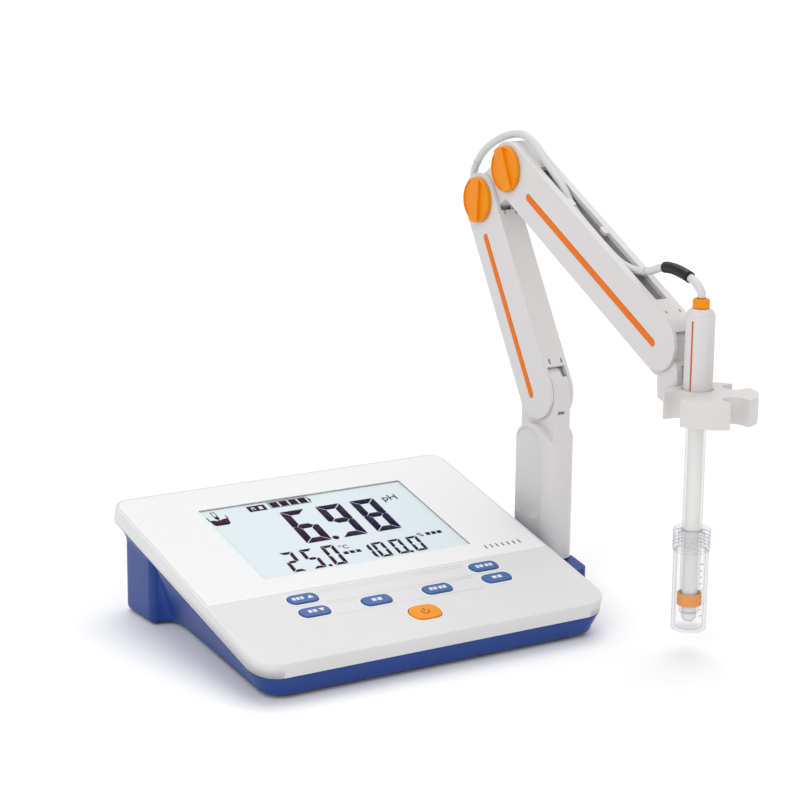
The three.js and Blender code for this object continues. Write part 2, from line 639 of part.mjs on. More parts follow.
function electrodeHolder() {
  const [x, y] = HOLDER.middle;
  const round = slab(disc(x, y, HOLDER.radius), HOLDER.low, HOLDER.high, 20);
  const notches = HOLDER_NOTCHES.map(([nx, ny, radius]) => {
    const away = Math.abs(nx - x) > Math.abs(ny - y) ? [nx + Math.sign(nx) * 40, ny] : [nx, ny - 40];
    return slab(capsule([nx, ny], away, radius), HOLDER.low - 1, HOLDER.high + 1, 8);
  });
  const bracketPocket = box(-8, 8, -131.6, -120, HOLDER.low - 1, HOLDER.high + 1);
  const hole = rod(HANDLE_RADIUS + 0.5, 100, 200, 28).translate(0, ELECTRODE_Y, 0);
  return cut(round, ...notches, bracketPocket, hole).translate(ARM_X, 0, 0);
}

function electrodeHandle() {
  const [lower, upper] = [141.5, HANDLE_TOP];
  const profile = [[0, lower], [7, lower], [HANDLE_RADIUS, lower + 2.5], [HANDLE_RADIUS, upper - 3.5],
    [7.6, upper - 1.6], [5.4, upper], [0, upper]];
  const blank = turned(profile, 32);
  const { z, across, deep, high, sunk, turn } = THUMB_FLAT;
  const thumbFlat = new THREE.SphereGeometry(1, 28, 18).rotateX(PI / 2).scale(across, deep, high)
    .translate(0, -HANDLE_RADIUS - deep + sunk, z).rotateZ(turn);
  return cut(blank, thumbFlat, rod(TUBE_RADIUS + GAP, 130, 150, 20));
}

function electrodeCollar() {
  const low = HANDLE_TOP + GAP;
  return turned([[0, low], [5, low], [5, COLLAR_TOP - 0.9], [4.2, COLLAR_TOP], [0, COLLAR_TOP]]);
}

function electrodeTube() {
  const profile = [[0, TUBE_BOTTOM], [TUBE_RADIUS, TUBE_BOTTOM], [TUBE_RADIUS, 149], [0, 149]];
  return turned(profile, 24);
}

function electrodeBulb() {
  return turned([[0, 17.6], [3, 18.6], [4.6, 21], [4.6, TUBE_BOTTOM - GAP], [0, TUBE_BOTTOM - GAP]], 20);
}

function vialCap() {
  const { top, capBottom, capRadius } = VIAL;
  const outer = [[0, capBottom], [capRadius, capBottom], [capRadius, top - 1],
    [capRadius - 1, top], [0, top]];
  return cut(turned(outer, 32), rod(TUBE_RADIUS + GAP, 60, 80, 24), rod(8.2, 60, 72.5, 24));
}

function vialBody() {
  const { bottom, capBottom, radius } = VIAL;
  const neckTop = 72.2;
  const outer = [[0, bottom], [radius - 1, bottom], [radius, bottom + 1], [radius, capBottom - GAP],
    [7.9, capBottom - GAP], [7.9, neckTop], [0, neckTop]];
  return cut(turned(outer, 32), rod(radius - 1.6, bottom + 1.6, 57, 24), rod(TUBE_RADIUS + 0.4, 50, 80, 24));
}

// ---- lead ------------------------------------------------------------------------

// The whole route, from the electrode's collar over both arms and down the column to the pH socket.
const inArmPlane = (places) => places.map(([y, z]) => axis(ARM_X, y, z));
const LEAD_ROUTE = [
  ...inArmPlane([
    [ELECTRODE_Y, COLLAR_TOP + GAP], [ELECTRODE_Y, 217.2], [-138.8, 221.6], [-133, 224.4], [-125, 226.4],
    [-117, 227.5], [-110, 227.4], [-103, 225.8], [-96.3, 223.4], [-89.6, 221.8], [-83, 221], [-76.5, 221.2],
    [-68, 222.6], [-58, 226.3], [-46, 232.2], [-32, 239.7], [-20, 246.8], [-12.5, 252.6],
    [-7, 258.6], [-1.9, 263.5], [5.2, 268.6], [11.6, 273.2], [17, 277.5], [22, 281.6], [28.2, 285.7],
    [34.7, 288.6], [41.6, 290.1], [49, 289.8], [61.3, 287], [74.5, 281.6], [85.4, 274.8], [92.6, 267.4],
    [96.5, 261], [97.3, 252.5], [95.2, 243], [90.5, 233.8], [84, 224.6], [76, 214.6],
    [67, 204], [58.1, 192.4], [48.6, 177.4], [39.8, 161.8], [34, 149.6], [29.6, 139.6],
    [26.8, 132.6], [25.7, 125], [25.6, 108], [25.6, 84], [25.6, 60], [25.8, 45], [27.6, 37], [32, 31],
  ]),
  ...[
    [145, 38, 27.8], [144.5, 44.5, 23.3], [143, 52, 16], [139.5, 64, 7.5], [134, 80, 3.4], [125, 99, 2.6],
    [112, 119, 2.6], [101, 137, 3.4], [91, 149, 7], [85.5, 154.5, 13.5], [PH_SOCKET_X, 153, 20],
    [PH_SOCKET_X, 147, 23.6], [PH_SOCKET_X, 140, SOCKET_Z], [PH_SOCKET_X, 134.9, SOCKET_Z],
  ].map((place) => axis(...place)),
];
// Name, the route's first and last place in the stretch, and how many steps its tube has
const LEAD_STRETCHES = [
  ['lead_wrist', 0, 11, 14],
  ['lead_upper', 11, 17, 6],
  ['lead_elbow', 17, 37, 24],
  ['lead_lower', 37, 43, 8],
  ['lead_column', 43, 51, 10],
  ['lead_tail', 51, 65, 18],
];

// Part of a curve, between two of its numbered points; fractions lie between points.
class Stretch extends THREE.Curve {
  constructor(route, first, last) {
    super();
    this.route = route;
    this.first = first;
    this.last = last;
  }

  getPoint(t) {
    const place = THREE.MathUtils.lerp(this.first, this.last, t);
    return this.route.getPoint(place / (this.route.points.length - 1));
  }
}

function tubeAlong(route, section, first, last, steps) {
  const extrudePath = new Stretch(route, first, last);
  const options = { extrudePath, steps, curveSegments: LEAD_SIDES / 2, bevelEnabled: false };
  return new THREE.ExtrudeGeometry(section, options);
}

function leadStretches() {
  const route = new THREE.CatmullRomCurve3(LEAD_ROUTE);
  const gapAfter = (place) => GAP / LEAD_ROUTE[place].distanceTo(LEAD_ROUTE[place + 1]);
  const stretches = LEAD_STRETCHES.map(([name, first, last, steps]) => {
    const start = first > 0 ? first + gapAfter(first) : 0;
    return part(name, tubeAlong(route, disc(0, 0, LEAD_RADIUS), start, last, steps), LEAD_GREY);
  });
  const ring = disc(0, 0, SLEEVE.outer);
  ring.holes.push(new THREE.Path().absarc(0, 0, SLEEVE.bore, 0, 2 * PI));
  const sleeve = tubeAlong(route, ring, SLEEVE.first, SLEEVE.last, 6);
  return [...stretches, part('lead_sleeve', sleeve, BLACK)];
}

function leadPlug() {
  const [grip, collar] = [6.2, 7.2];
  const profile = [[0, -134.5], [3.2, -134.5], [4.6, -122], [grip, -121], [grip, -116],
    [collar, -115], [collar, -98.2], [0, -98.2]];
  const body = turned(profile, 20);
  const mouth = rod(5.6, -109, -97, 20);
  const lugRoom = box(-6.4, 6.4, -1.5, 1.5, -106, -97);
  return cut(body, mouth, lugRoom).applyMatrix4(ALONG_Y).translate(PH_SOCKET_X, 0, SOCKET_Z);
}

// ---- assembly ----------------------------------------------------------------------

const group = new THREE.Group();
const instrument = new THREE.Group();
instrument.position.set(-ORIGIN_X, -ORIGIN_Y, 0);
group.add(instrument);

const deck = new THREE.Group();
deck.position.z = DECK_Z;
deck.rotation.x = TILT;
instrument.add(deck);
deck.add(
  part('top_cover', topCover(), PALE),
  part('display_panel', displayPanel(), WHITE),
  part('display_window', slab(rectangle(WINDOW), -PANEL_THICK, 0, 2), CLEAR),
  part('lcd_panel', slab(rectangle(OPENING, -0.5, 1), ...LCD_LAYER, 2), LCD_GREY),
  part('lcd_backlight', slab(rectangle([150, 92]), ...BACKLIGHT_LAYER, 2), WHITE),
  part('main_board', boardSheet(80, -28, 85, MAIN_BOARD_LAYER), BOARD_GREEN),
  part('key_board', boardSheet(88, -91, -35, KEY_BOARD_LAYER), BOARD_GREEN),
  part('key_mat', keyMat(), RUBBER),
);
for (const [name, x, s] of KEYS) {
  const key = part(name, keyCap(KEY_SIZE), KEY_BLUE);
  key.position.set(x, s, 0);
  deck.add(key);
}
const powerKey = part(POWER_KEY[0], keyCap(POWER_SIZE), POWER_ORANGE);
powerKey.position.set(POWER_KEY[1], POWER_KEY[2], 0);
deck.add(powerKey);

instrument.add(
  part('bottom_case', bottomCase(), BLUE),
  part('foot_front_left', foot(-90, -82, HULL_BOTTOM - GAP), RUBBER),
  part('foot_front_right', foot(90, -82, HULL_BOTTOM - GAP), RUBBER),
  part('foot_rear_left', foot(-70, 78, BLOCK.bottom - 0.1), RUBBER),
  part('foot_rear_right', foot(70, 78, BLOCK.bottom - 0.1), RUBBER),
  part('case_screw_left', screw(-SCREW_X, SCREW_Y, BLOCK.bottom + 0.3, 18), STEEL),
  part('case_screw_right', screw(SCREW_X, SCREW_Y, BLOCK.bottom + 0.3, 18), STEEL),
  part('seat_screw', screw(...SEAT_SCREW, HULL_BOTTOM + 0.3, 10), STEEL),
  part('ph_socket', phSocket(), STEEL),
  part('temperature_socket', temperatureSocket(), BLACK),
  part('power_socket', powerSocket(), BLACK),
  part('data_port', dataPort(), STEEL),
  part('arm_seat', armSeat(), BLUE),
  part('seat_foot', foot(140, 5, HULL_BOTTOM - GAP), RUBBER),
  part('lead_plug', leadPlug(), STEEL),
);

const column = new THREE.Group();
column.position.set(ARM_X, COLUMN_Y, 0);
column.add(part('column', columnPost(), ARM_GREY));
instrument.add(column);

// A group at one pivot whose +Z points at the next one.
function armFrame(from, to, offset = [0, 0]) {
  const frame = new THREE.Group();
  frame.position.set(ARM_X, from[0] + offset[0], from[1] + offset[1]);
  frame.rotation.x = -Math.atan2(to[0] - from[0], to[1] - from[1]);
  instrument.add(frame);
  return frame;
}

const distance = (from, to) => Math.hypot(to[0] - from[0], to[1] - from[1]);
const lowerLength = distance(SHOULDER, LOWER_PIVOT);
const upperLength = distance(UPPER_PIVOT, WRIST);
const lower = armFrame(SHOULDER, LOWER_PIVOT);
lower.add(
  part('lower_arm', lowerArm(lowerLength), ARM_GREY),
  part('lower_arm_stripe', stripeInlay(LOWER_STRIPE), ORANGE),
  part('shoulder_pin', rodX(PIN_RADIUS, -ARM_HALF + 1.2, ARM_HALF - 1.2), STEEL),
);
armFrame(SHOULDER, LOWER_PIVOT, LOWER_ROD_OFFSET).add(part('lower_rod', parallelRod(lowerLength), STEEL));
const upper = armFrame(UPPER_PIVOT, WRIST);
upper.add(
  part('upper_arm', upperArm(upperLength), ARM_GREY),
  part('upper_arm_stripe', stripeInlay(UPPER_STRIPE), ORANGE),
);
armFrame(UPPER_PIVOT, WRIST, UPPER_ROD_OFFSET).add(part('upper_rod', parallelRod(upperLength), STEEL));

const elbow = new THREE.Group();
elbow.position.set(ARM_X, ...LOWER_PIVOT);
const upperElbow = new THREE.Group();
upperElbow.position.set(ARM_X, ...UPPER_PIVOT);
instrument.add(elbow, upperElbow);
elbow.add(
  part('elbow_link', elbowLink(), ARM_GREY),
  part('knob_lower', clampKnob(LOWER_BAR_TILT), ORANGE),
  part('nut_lower', clampNut(), ARM_GREY),
);
upperElbow.add(
  part('knob_upper', clampKnob(UPPER_BAR_TILT), ORANGE),
  part('nut_upper', clampNut(), ARM_GREY),
);

instrument.add(
  part('wrist_bracket', wristBracket(), ARM_GREY),
  part('wrist_pin', rodX(PIN_RADIUS, -ARM_HALF + 1.2, ARM_HALF - 1.2).translate(ARM_X, ...WRIST), STEEL),
  part('electrode_holder', electrodeHolder(), ARM_GREY),
);

const electrode = new THREE.Group();
electrode.position.set(ARM_X, ELECTRODE_Y, 0);
electrode.add(
  part('electrode_handle', electrodeHandle(), ARM_GREY),
  part('electrode_collar', electrodeCollar(), ORANGE),
  part('electrode_tube', electrodeTube(), CLEAR),
  part('electrode_bulb', electrodeBulb(), GLASS),
  part('tip_ring', cut(rod(7.4, 28.7, 36.1, 24), rod(TUBE_RADIUS + GAP, 20, 40, 24)), ORANGE),
  part('vial_cap', vialCap(), CLEAR),
  part('vial_body', vialBody(), CLEAR),
);
instrument.add(electrode);

instrument.add(...leadStretches());

export default group;
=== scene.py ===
# Looks of the bench pH meter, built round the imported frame. Metres, +Z up, +X right, +Y to the back.
import json
import math

import bmesh
import bpy
from mathutils import Matrix, Vector
from mathutils.geometry import tessellate_polygon


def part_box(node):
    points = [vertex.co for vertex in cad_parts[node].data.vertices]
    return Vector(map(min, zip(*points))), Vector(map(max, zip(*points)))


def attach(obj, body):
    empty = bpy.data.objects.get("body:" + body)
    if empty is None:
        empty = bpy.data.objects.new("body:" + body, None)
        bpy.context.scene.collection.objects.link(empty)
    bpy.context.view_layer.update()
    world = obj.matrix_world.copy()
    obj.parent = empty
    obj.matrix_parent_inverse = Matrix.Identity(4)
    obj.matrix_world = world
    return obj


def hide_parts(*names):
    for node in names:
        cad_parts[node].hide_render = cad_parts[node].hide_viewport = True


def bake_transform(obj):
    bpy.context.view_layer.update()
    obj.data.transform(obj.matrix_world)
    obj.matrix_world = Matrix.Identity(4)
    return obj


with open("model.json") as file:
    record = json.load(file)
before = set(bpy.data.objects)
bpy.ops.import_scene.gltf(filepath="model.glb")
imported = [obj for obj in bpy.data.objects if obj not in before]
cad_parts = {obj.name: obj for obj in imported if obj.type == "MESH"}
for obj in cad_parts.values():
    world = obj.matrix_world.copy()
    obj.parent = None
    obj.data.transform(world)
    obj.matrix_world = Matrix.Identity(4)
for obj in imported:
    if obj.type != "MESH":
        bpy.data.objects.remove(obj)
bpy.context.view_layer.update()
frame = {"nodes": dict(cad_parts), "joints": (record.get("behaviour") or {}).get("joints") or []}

MM = 0.001
PI = math.pi
NODES = frame["nodes"]
JOINTS = {joint["name"]: joint for joint in frame["joints"]}

# The housing, in the meter's own millimetres: +X right, +Y to the back, +Z up from the table
HALF_WIDTH = 121
DEPTH = 200
TILT = math.radians(13.27)  # the deck's slope
SLOPE = DEPTH / math.cos(TILT)
DECK_Z = 46.42  # height of the deck's middle
FRONT_RADIUS = 16.5
REAR_RADIUS = 11

# The meter's own origin: below the middle of its deck, on the table
cover_low, cover_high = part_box("top_cover")
HOME = Vector(((cover_low.x + cover_high.x) / 2, cover_low.y + DEPTH / 2 * MM, 0))
ARM_X = (JOINTS["lower_arm_tilt"]["pos_m"][0] - HOME.x) / MM  # the plane of the column and both arms
ELECTRODE_Y = -143


def at(x, y, z):
    """A point given in the meter's own millimetres, in the row frame."""
    return HOME + Vector((x, y, z)) * MM


SCALE = Matrix.Scale(MM, 4)
METER = Matrix.Translation(HOME) @ SCALE
DECK = Matrix.Translation(at(0, 0, DECK_Z)) @ Matrix.Rotation(TILT, 4, "X") @ SCALE


# ---- camera ---------------------------------------------------------------

CAMERA_ANGLES = (-31.68, 13.33, 0.53)  # azimuth, elevation and roll, in degrees
CAMERA_PLACE = (-668.1, -1129.74, 452.36)
SENSOR_WIDTH = 36
LENS = 100.21


def make_camera():
    azimuth, elevation, roll = (math.radians(angle) for angle in CAMERA_ANGLES)
    forward = Vector((
        -math.sin(azimuth) * math.cos(elevation),
        math.cos(azimuth) * math.cos(elevation),
        -math.sin(elevation),
    ))
    level = Vector((math.cos(azimuth), math.sin(azimuth), 0))
    upright = level.cross(forward)
    right = math.cos(roll) * level + math.sin(roll) * upright
    up = math.cos(roll) * upright - math.sin(roll) * level
    turn = Matrix((right, up, -forward)).transposed().to_4x4()
    data = bpy.data.cameras.new("camera")
    data.sensor_width = SENSOR_WIDTH
    data.lens = LENS
    data.clip_end = 100
    camera = bpy.data.objects.new("camera", data)
    camera.matrix_world = Matrix.Translation(at(*CAMERA_PLACE)) @ turn
    bpy.context.scene.collection.objects.link(camera)
    bpy.context.scene.camera = camera


make_camera()


# ---- materials --------------------------------------------------------------

LIGHT_GAIN = 0.82  # how far below its lit look a surface's own colour lies
DRIFT_SCALE = 28  # patches of drifting colour about 36 mm across
GRAIN_SCALE = 2600  # grain about 0.4 mm across
GRAIN_DEPTH = 0.2 * MM
GLOSS_SPREAD = 0.07  # how far the roughness wanders either way
SMOOTHEST = 0.03


def linear(red, green, blue):
    """A surface colour from the sRGB look it has when lit."""
    def one(v):
        v /= 255
        return v / 12.92 if v <= 0.04045 else ((v + 0.055) / 1.055) ** 2.4
    return (LIGHT_GAIN * one(red), LIGHT_GAIN * one(green), LIGHT_GAIN * one(blue), 1)


def moulded(name, colour, roughness, grain=1.0, bump=0.04, coat=0.0, mottle=0.03, metallic=0.0,
            shine=0.5):
    """Moulded plastic, rubber or metal: its colour drifts slowly, its surface and gloss have a grain."""
    material = bpy.data.materials.new(name)
    material.use_nodes = True
    nodes, links = material.node_tree.nodes, material.node_tree.links
    shader = nodes["Principled BSDF"]
    shader.inputs["Metallic"].default_value = metallic
    shader.inputs["Specular IOR Level"].default_value = shine
    shader.inputs["Coat Weight"].default_value = coat
    shader.inputs["Coat Roughness"].default_value = 0.12
    place = nodes.new("ShaderNodeTexCoord")
    drift = nodes.new("ShaderNodeTexNoise")
    drift.inputs["Scale"].default_value = DRIFT_SCALE
    drift.inputs["Detail"].default_value = 3
    links.new(place.outputs["Object"], drift.inputs["Vector"])
    shade = nodes.new("ShaderNodeMix")
    shade.data_type = "RGBA"
    shade.inputs["A"].default_value = [v * (1 - mottle) for v in colour[:3]] + [1]
    shade.inputs["B"].default_value = [min(1, v * (1 + mottle)) for v in colour[:3]] + [1]
    links.new(drift.outputs["Fac"], shade.inputs["Factor"])
    links.new(shade.outputs["Result"], shader.inputs["Base Color"])
    fine = nodes.new("ShaderNodeTexNoise")
    fine.inputs["Scale"].default_value = GRAIN_SCALE / grain
    fine.inputs["Detail"].default_value = 4
    links.new(place.outputs["Object"], fine.inputs["Vector"])
    spread = nodes.new("ShaderNodeMapRange")
    spread.inputs["To Min"].default_value = max(SMOOTHEST, roughness - GLOSS_SPREAD)
    spread.inputs["To Max"].default_value = min(1, roughness + GLOSS_SPREAD)
    links.new(fine.outputs["Fac"], spread.inputs["Value"])
    links.new(spread.outputs["Result"], shader.inputs["Roughness"])
    relief = nodes.new("ShaderNodeBump")
    relief.inputs["Strength"].default_value = bump
    relief.inputs["Distance"].default_value = GRAIN_DEPTH
    links.new(fine.outputs["Fac"], relief.inputs["Height"])
    links.new(relief.outputs["Normal"], shader.inputs["Normal"])
    return material


def clear(name, colour, painted_edge_colour, alpha, edge, roughness=0.06, shine=0.5):
    """Clear moulded plastic or glass: see-through face on, denser where it turns away, with painted shade
    darkening its colour there.
    """
    material = moulded(name, colour, roughness, bump=0.01, mottle=0.01, shine=shine)
    nodes, links = material.node_tree.nodes, material.node_tree.links
    shader = nodes["Principled BSDF"]
    facing = nodes.new("ShaderNodeLayerWeight")
    facing.inputs["Blend"].default_value = 0.3
    steep = nodes.new("ShaderNodeMapRange")
    steep.inputs["From Min"].default_value = 0.25
    steep.inputs["To Min"].default_value = alpha
    steep.inputs["To Max"].default_value = edge
    links.new(facing.outputs["Facing"], steep.inputs["Value"])
    links.new(steep.outputs["Result"], shader.inputs["Alpha"])
    # Painted shade: the colour darkens to the edge colour where the surface turns away from view
    painted_edge_shade = nodes.new("ShaderNodeMix")
    painted_edge_shade.data_type = "RGBA"
    painted_edge_shade.inputs["A"].default_value = colour
    painted_edge_shade.inputs["B"].default_value = painted_edge_colour
    links.new(facing.outputs["Facing"], painted_edge_shade.inputs["Factor"])
    links.new(painted_edge_shade.outputs["Result"], shader.inputs["Base Color"])
    return material


def ink_material():
    """The display's ink: dark purple on the left, drifting to navy on the right."""
    drift_half = 50 * MM
    material = moulded("lcd_ink", linear(30, 18, 44), 0.5, bump=0.02, shine=0.05)
    nodes, links = material.node_tree.nodes, material.node_tree.links
    place = nodes["Texture Coordinate"]
    split = nodes.new("ShaderNodeSeparateXYZ")
    links.new(place.outputs["Object"], split.inputs["Vector"])
    ramp = nodes.new("ShaderNodeMapRange")
    ramp.inputs["From Min"].default_value = HOME.x - drift_half
    ramp.inputs["From Max"].default_value = HOME.x + drift_half
    links.new(split.outputs["X"], ramp.inputs["Value"])
    mix = nodes.new("ShaderNodeMix")
    mix.data_type = "RGBA"
    mix.inputs["A"].default_value = linear(58, 10, 44)
    mix.inputs["B"].default_value = linear(8, 10, 66)
    links.new(ramp.outputs["Result"], mix.inputs["Factor"])
    links.new(mix.outputs["Result"], nodes["Principled BSDF"].inputs["Base Color"])
    return material


COVER = moulded("cover_grey", linear(236, 235, 236), 0.42)
KEYPAD = moulded("keypad_grey", linear(232, 232, 232), 0.5, bump=0.06)
PANEL = moulded("panel_white", linear(252, 252, 254), 0.14, bump=0.01, coat=0.15, mottle=0.01, shine=0.3)
LCD = moulded("lcd_glass", linear(232, 243, 247), 0.3, bump=0.01, mottle=0.02, shine=0.2)
INK = ink_material()
PRINT = moulded("print_white", linear(250, 251, 253), 0.4)
PRINT_DARK = moulded("print_dark", linear(92, 74, 62), 0.5, shine=0.1)
BLUE = moulded("case_blue", linear(32, 68, 146), 0.4, bump=0.05, shine=0.3)
KEY_BLUE = moulded("key_blue", linear(62, 104, 172), 0.35, shine=0.3)
KEY_ORANGE = moulded("key_orange", linear(255, 158, 20), 0.4, shine=0.2)
ARM = moulded("arm_grey", linear(229, 227, 226), 0.38)
ORANGE = moulded("knob_orange", linear(255, 152, 0), 0.4, shine=0.2)
STRIPE = moulded("stripe_orange", linear(252, 122, 8), 0.45, shine=0.15)
THIN_STRIPE = moulded("thin_stripe_orange", linear(216, 104, 40), 0.45, shine=0.15)
LEAD = moulded("lead_grey", linear(226, 225, 225), 0.45, grain=2)
SLEEVE = moulded("sleeve_black", linear(32, 28, 34), 0.4, grain=3, bump=0.1, shine=0.3)
STEEL = moulded("steel", linear(190, 192, 196), 0.25, grain=0.6, metallic=1.0)
BLACK = moulded("socket_black", linear(32, 32, 34), 0.45)
RUBBER = moulded("foot_rubber", linear(44, 45, 47), 0.85, grain=3, bump=0.2)
BOARD = moulded("board_green", linear(28, 96, 52), 0.5)
# In the clear finishes (CLEAR, WINDOW, TUBE, THREAD, BULB) the second colour is painted shade for the edges
# that turn away from view
CLEAR = clear("clear_plastic", linear(240, 241, 248), linear(116, 118, 146), 0.04, 0.72)
WINDOW = clear("window_plastic", linear(236, 242, 246), linear(230, 238, 242), 0.005, 0.015, 0.05, shine=0.1)
CORE = moulded("core_white", linear(250, 250, 248), 0.35, mottle=0.02)
TUBE = clear("tube_clear", linear(250, 250, 250), linear(150, 152, 158), 0.16, 0.7)
THREAD = clear("thread_clear", linear(250, 250, 254), linear(215, 216, 228), 0.26, 0.6)
RING = moulded("ring_orange", linear(250, 162, 62), 0.4, shine=0.2)
BULB = clear("bulb_glass", linear(225, 228, 245), linear(110, 110, 150), 0.3, 0.8, 0.04)
GRADUATION = moulded("print_red", linear(196, 96, 110), 0.5)


# ---- mesh helpers ---------------------------------------------------------------

def mesh_piece(name, verts, faces, material, place=METER, body=None, slot=None):
    """A smooth-shaded piece from vertices in millimetres, put in place by a matrix."""
    mesh = bpy.data.meshes.new(name)
    mesh.from_pydata([tuple(place @ Vector(v)) for v in verts], [], faces)
    tidy = bmesh.new()
    tidy.from_mesh(mesh)
    bmesh.ops.recalc_face_normals(tidy, faces=tidy.faces)
    tidy.to_mesh(mesh)
    tidy.free()
    for face in mesh.polygons:
        face.use_smooth = True
    mesh.materials.append(material)
    obj = bpy.data.objects.new(name, mesh)
    bpy.context.scene.collection.objects.link(obj)
    if body:
        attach(obj, body)
    return obj


def merged(solids):
    """Several solids' vertices and faces as one mesh's."""
    verts, faces = [], []
    for more_verts, more_faces in solids:
        faces += [tuple(index + len(verts) for index in face) for face in more_faces]
        verts += more_verts
    return verts, faces


def weigh_normals(obj):
    obj.modifiers.new("normals", "WEIGHTED_NORMAL").keep_sharp = True
    return obj


def moved_loop(loop, distance):
    """A counterclockwise loop grown outwards by distance."""
    moved = []
    for i, (x, y) in enumerate(loop):
        here = Vector((x, y))
        back = here - Vector(loop[i - 1])
        ahead = Vector(loop[(i + 1) % len(loop)]) - here
        back.normalize()
        ahead.normalize()
        out = Vector((back.y + ahead.y, -back.x - ahead.x))
        out *= 2 / max(out.length_squared, 0.5)
        moved.append((here.x + out.x * distance, here.y + out.y * distance))
    return moved


def plate_mesh(outer, holes, low, high, round_outer, round_holes=0.0, round_bottom=0.0, steps=4):
    """Vertices and faces of a plate with holes, its edges rounded over."""
    verts, faces, top_loops, bottom_loops = [], [], [], []
    for number, loop in enumerate([outer, *holes]):
        side = -1 if number == 0 else 1
        round_top = round_holes if number else round_outer
        turns = [k * PI / 2 / steps for k in range(steps + 1)]
        bottom = [(side * round_bottom * (1 - math.sin(turn)), low + round_bottom * (1 - math.cos(turn)))
                  for turn in turns]
        top = [(side * round_top * (1 - math.cos(turn)), high - round_top * (1 - math.sin(turn)))
               for turn in turns]
        first = len(verts)
        count = len(loop)
        profile = (bottom if round_bottom else bottom[:1]) + (top if round_top else top[:1])
        for inset, z in profile:
            verts += [(x, y, z) for x, y in moved_loop(loop, inset)]
        for r in range(len(profile) - 1):
            for i in range(count):
                j = (i + 1) % count
                a, b = first + r * count, first + (r + 1) * count
                faces.append((a + i, a + j, b + j, b + i))
        bottom_loops.append(list(range(first, first + count)))
        top_first = first + (len(profile) - 1) * count
        top_loops.append(list(range(top_first, top_first + count)))
    for loops in (bottom_loops, top_loops):
        order = [index for loop in loops for index in loop]
        points = [[Vector(verts[index]) for index in loop] for loop in loops]
        faces += [tuple(order[i] for i in triangle) for triangle in tessellate_polygon(points)]
    return verts, faces


def plate(name, outer, holes, low, high, material, place=METER, top=0.5, rims=0.0, bottom=0.0, **facts):
    verts, faces = plate_mesh(outer, holes, low, high, top, rims, bottom)
    return weigh_normals(mesh_piece(name, verts, faces, material, place, **facts))


def rings_mesh(rings):
    """Vertices and faces of a solid skin through rings of the same count, closed at both ends."""
    count = len(rings[0])
    verts = [p for ring in rings for p in ring]
    faces = [tuple(range(count))[::-1], tuple(range(len(verts) - count, len(verts)))]
    for r in range(len(rings) - 1):
        for i in range(count):
            j = (i + 1) % count
            faces.append((r * count + i, r * count + j, (r + 1) * count + j, (r + 1) * count + i))
    return verts, faces


def turned(name, profile, material, place, segments=64, **facts):
    """A lathed piece from (radius, z) pairs."""
    rings = [[(radius * math.cos(2 * PI * i / segments), radius * math.sin(2 * PI * i / segments), z)
              for i in range(segments)] for radius, z in profile]
    verts, faces = rings_mesh(rings)
    return weigh_normals(mesh_piece(name, verts, faces, material, place, **facts))


def turned_ring(name, profile, material, place, segments=64, **facts):
    """A lathed hollow piece: its (radius, z) pairs go once round the section."""
    count = len(profile)
    verts = [(radius * math.cos(2 * PI * i / segments), radius * math.sin(2 * PI * i / segments), z)
             for i in range(segments) for radius, z in profile]
    faces = []
    for i in range(segments):
        a, b = i * count, (i + 1) % segments * count
        faces += [(a + k, b + k, b + (k + 1) % count, a + (k + 1) % count) for k in range(count)]
    return weigh_normals(mesh_piece(name, verts, faces, material, place, **facts))


def arc(x, y, radius, start, end, steps):
    """Points along a circle's arc, both ends included."""
    return [(x + radius * math.cos(start + (end - start) * i / steps),
             y + radius * math.sin(start + (end - start) * i / steps)) for i in range(steps + 1)]


def rectangle(left, right, front, rear):
    return [(left, front), (right, front), (right, rear), (left, rear)]


def rounded(half_width, front, rear, front_radius, rear_radius=None, steps=12):
    """A rectangle about the middle line, with rounded corners."""
    rear_radius = front_radius if rear_radius is None else rear_radius
    return (arc(half_width - rear_radius, rear - rear_radius, rear_radius, 0, PI / 2, steps)
            + arc(-half_width + rear_radius, rear - rear_radius, rear_radius, PI / 2, PI, steps)
            + arc(-half_width + front_radius, front + front_radius, front_radius, PI, 1.5 * PI, steps)
            + arc(half_width - front_radius, front + front_radius, front_radius, 1.5 * PI, 2 * PI, steps))


def shifted(loop, dx, dy):
    return [(x + dx, y + dy) for x, y in loop]


def key_loop(half_length, half_width, grow=0.0, steps=8):
    """A pill whose ends come to a blunt point."""
    end, side, straight = half_length + grow, half_width + grow, half_length - half_width
    bend = end - 0.12 * side

    def curve(a, b, c):
        return [tuple((1 - t) ** 2 * p + 2 * t * (1 - t) * q + t * t * r for p, q, r in zip(a, b, c))
                for t in (i / steps for i in range(steps))]
    return (curve((straight, -side), (bend, -side), (end, 0))
            + curve((end, 0), (bend, side), (straight, side))
            + curve((-straight, side), (-bend, side), (-end, 0))
            + curve((-end, 0), (-bend, -side), (-straight, -side)))


# ---- lead -----------------------------------------------------------------------

def in_arm_plane(places):
    return [(ARM_X, y, z) for y, z in places]


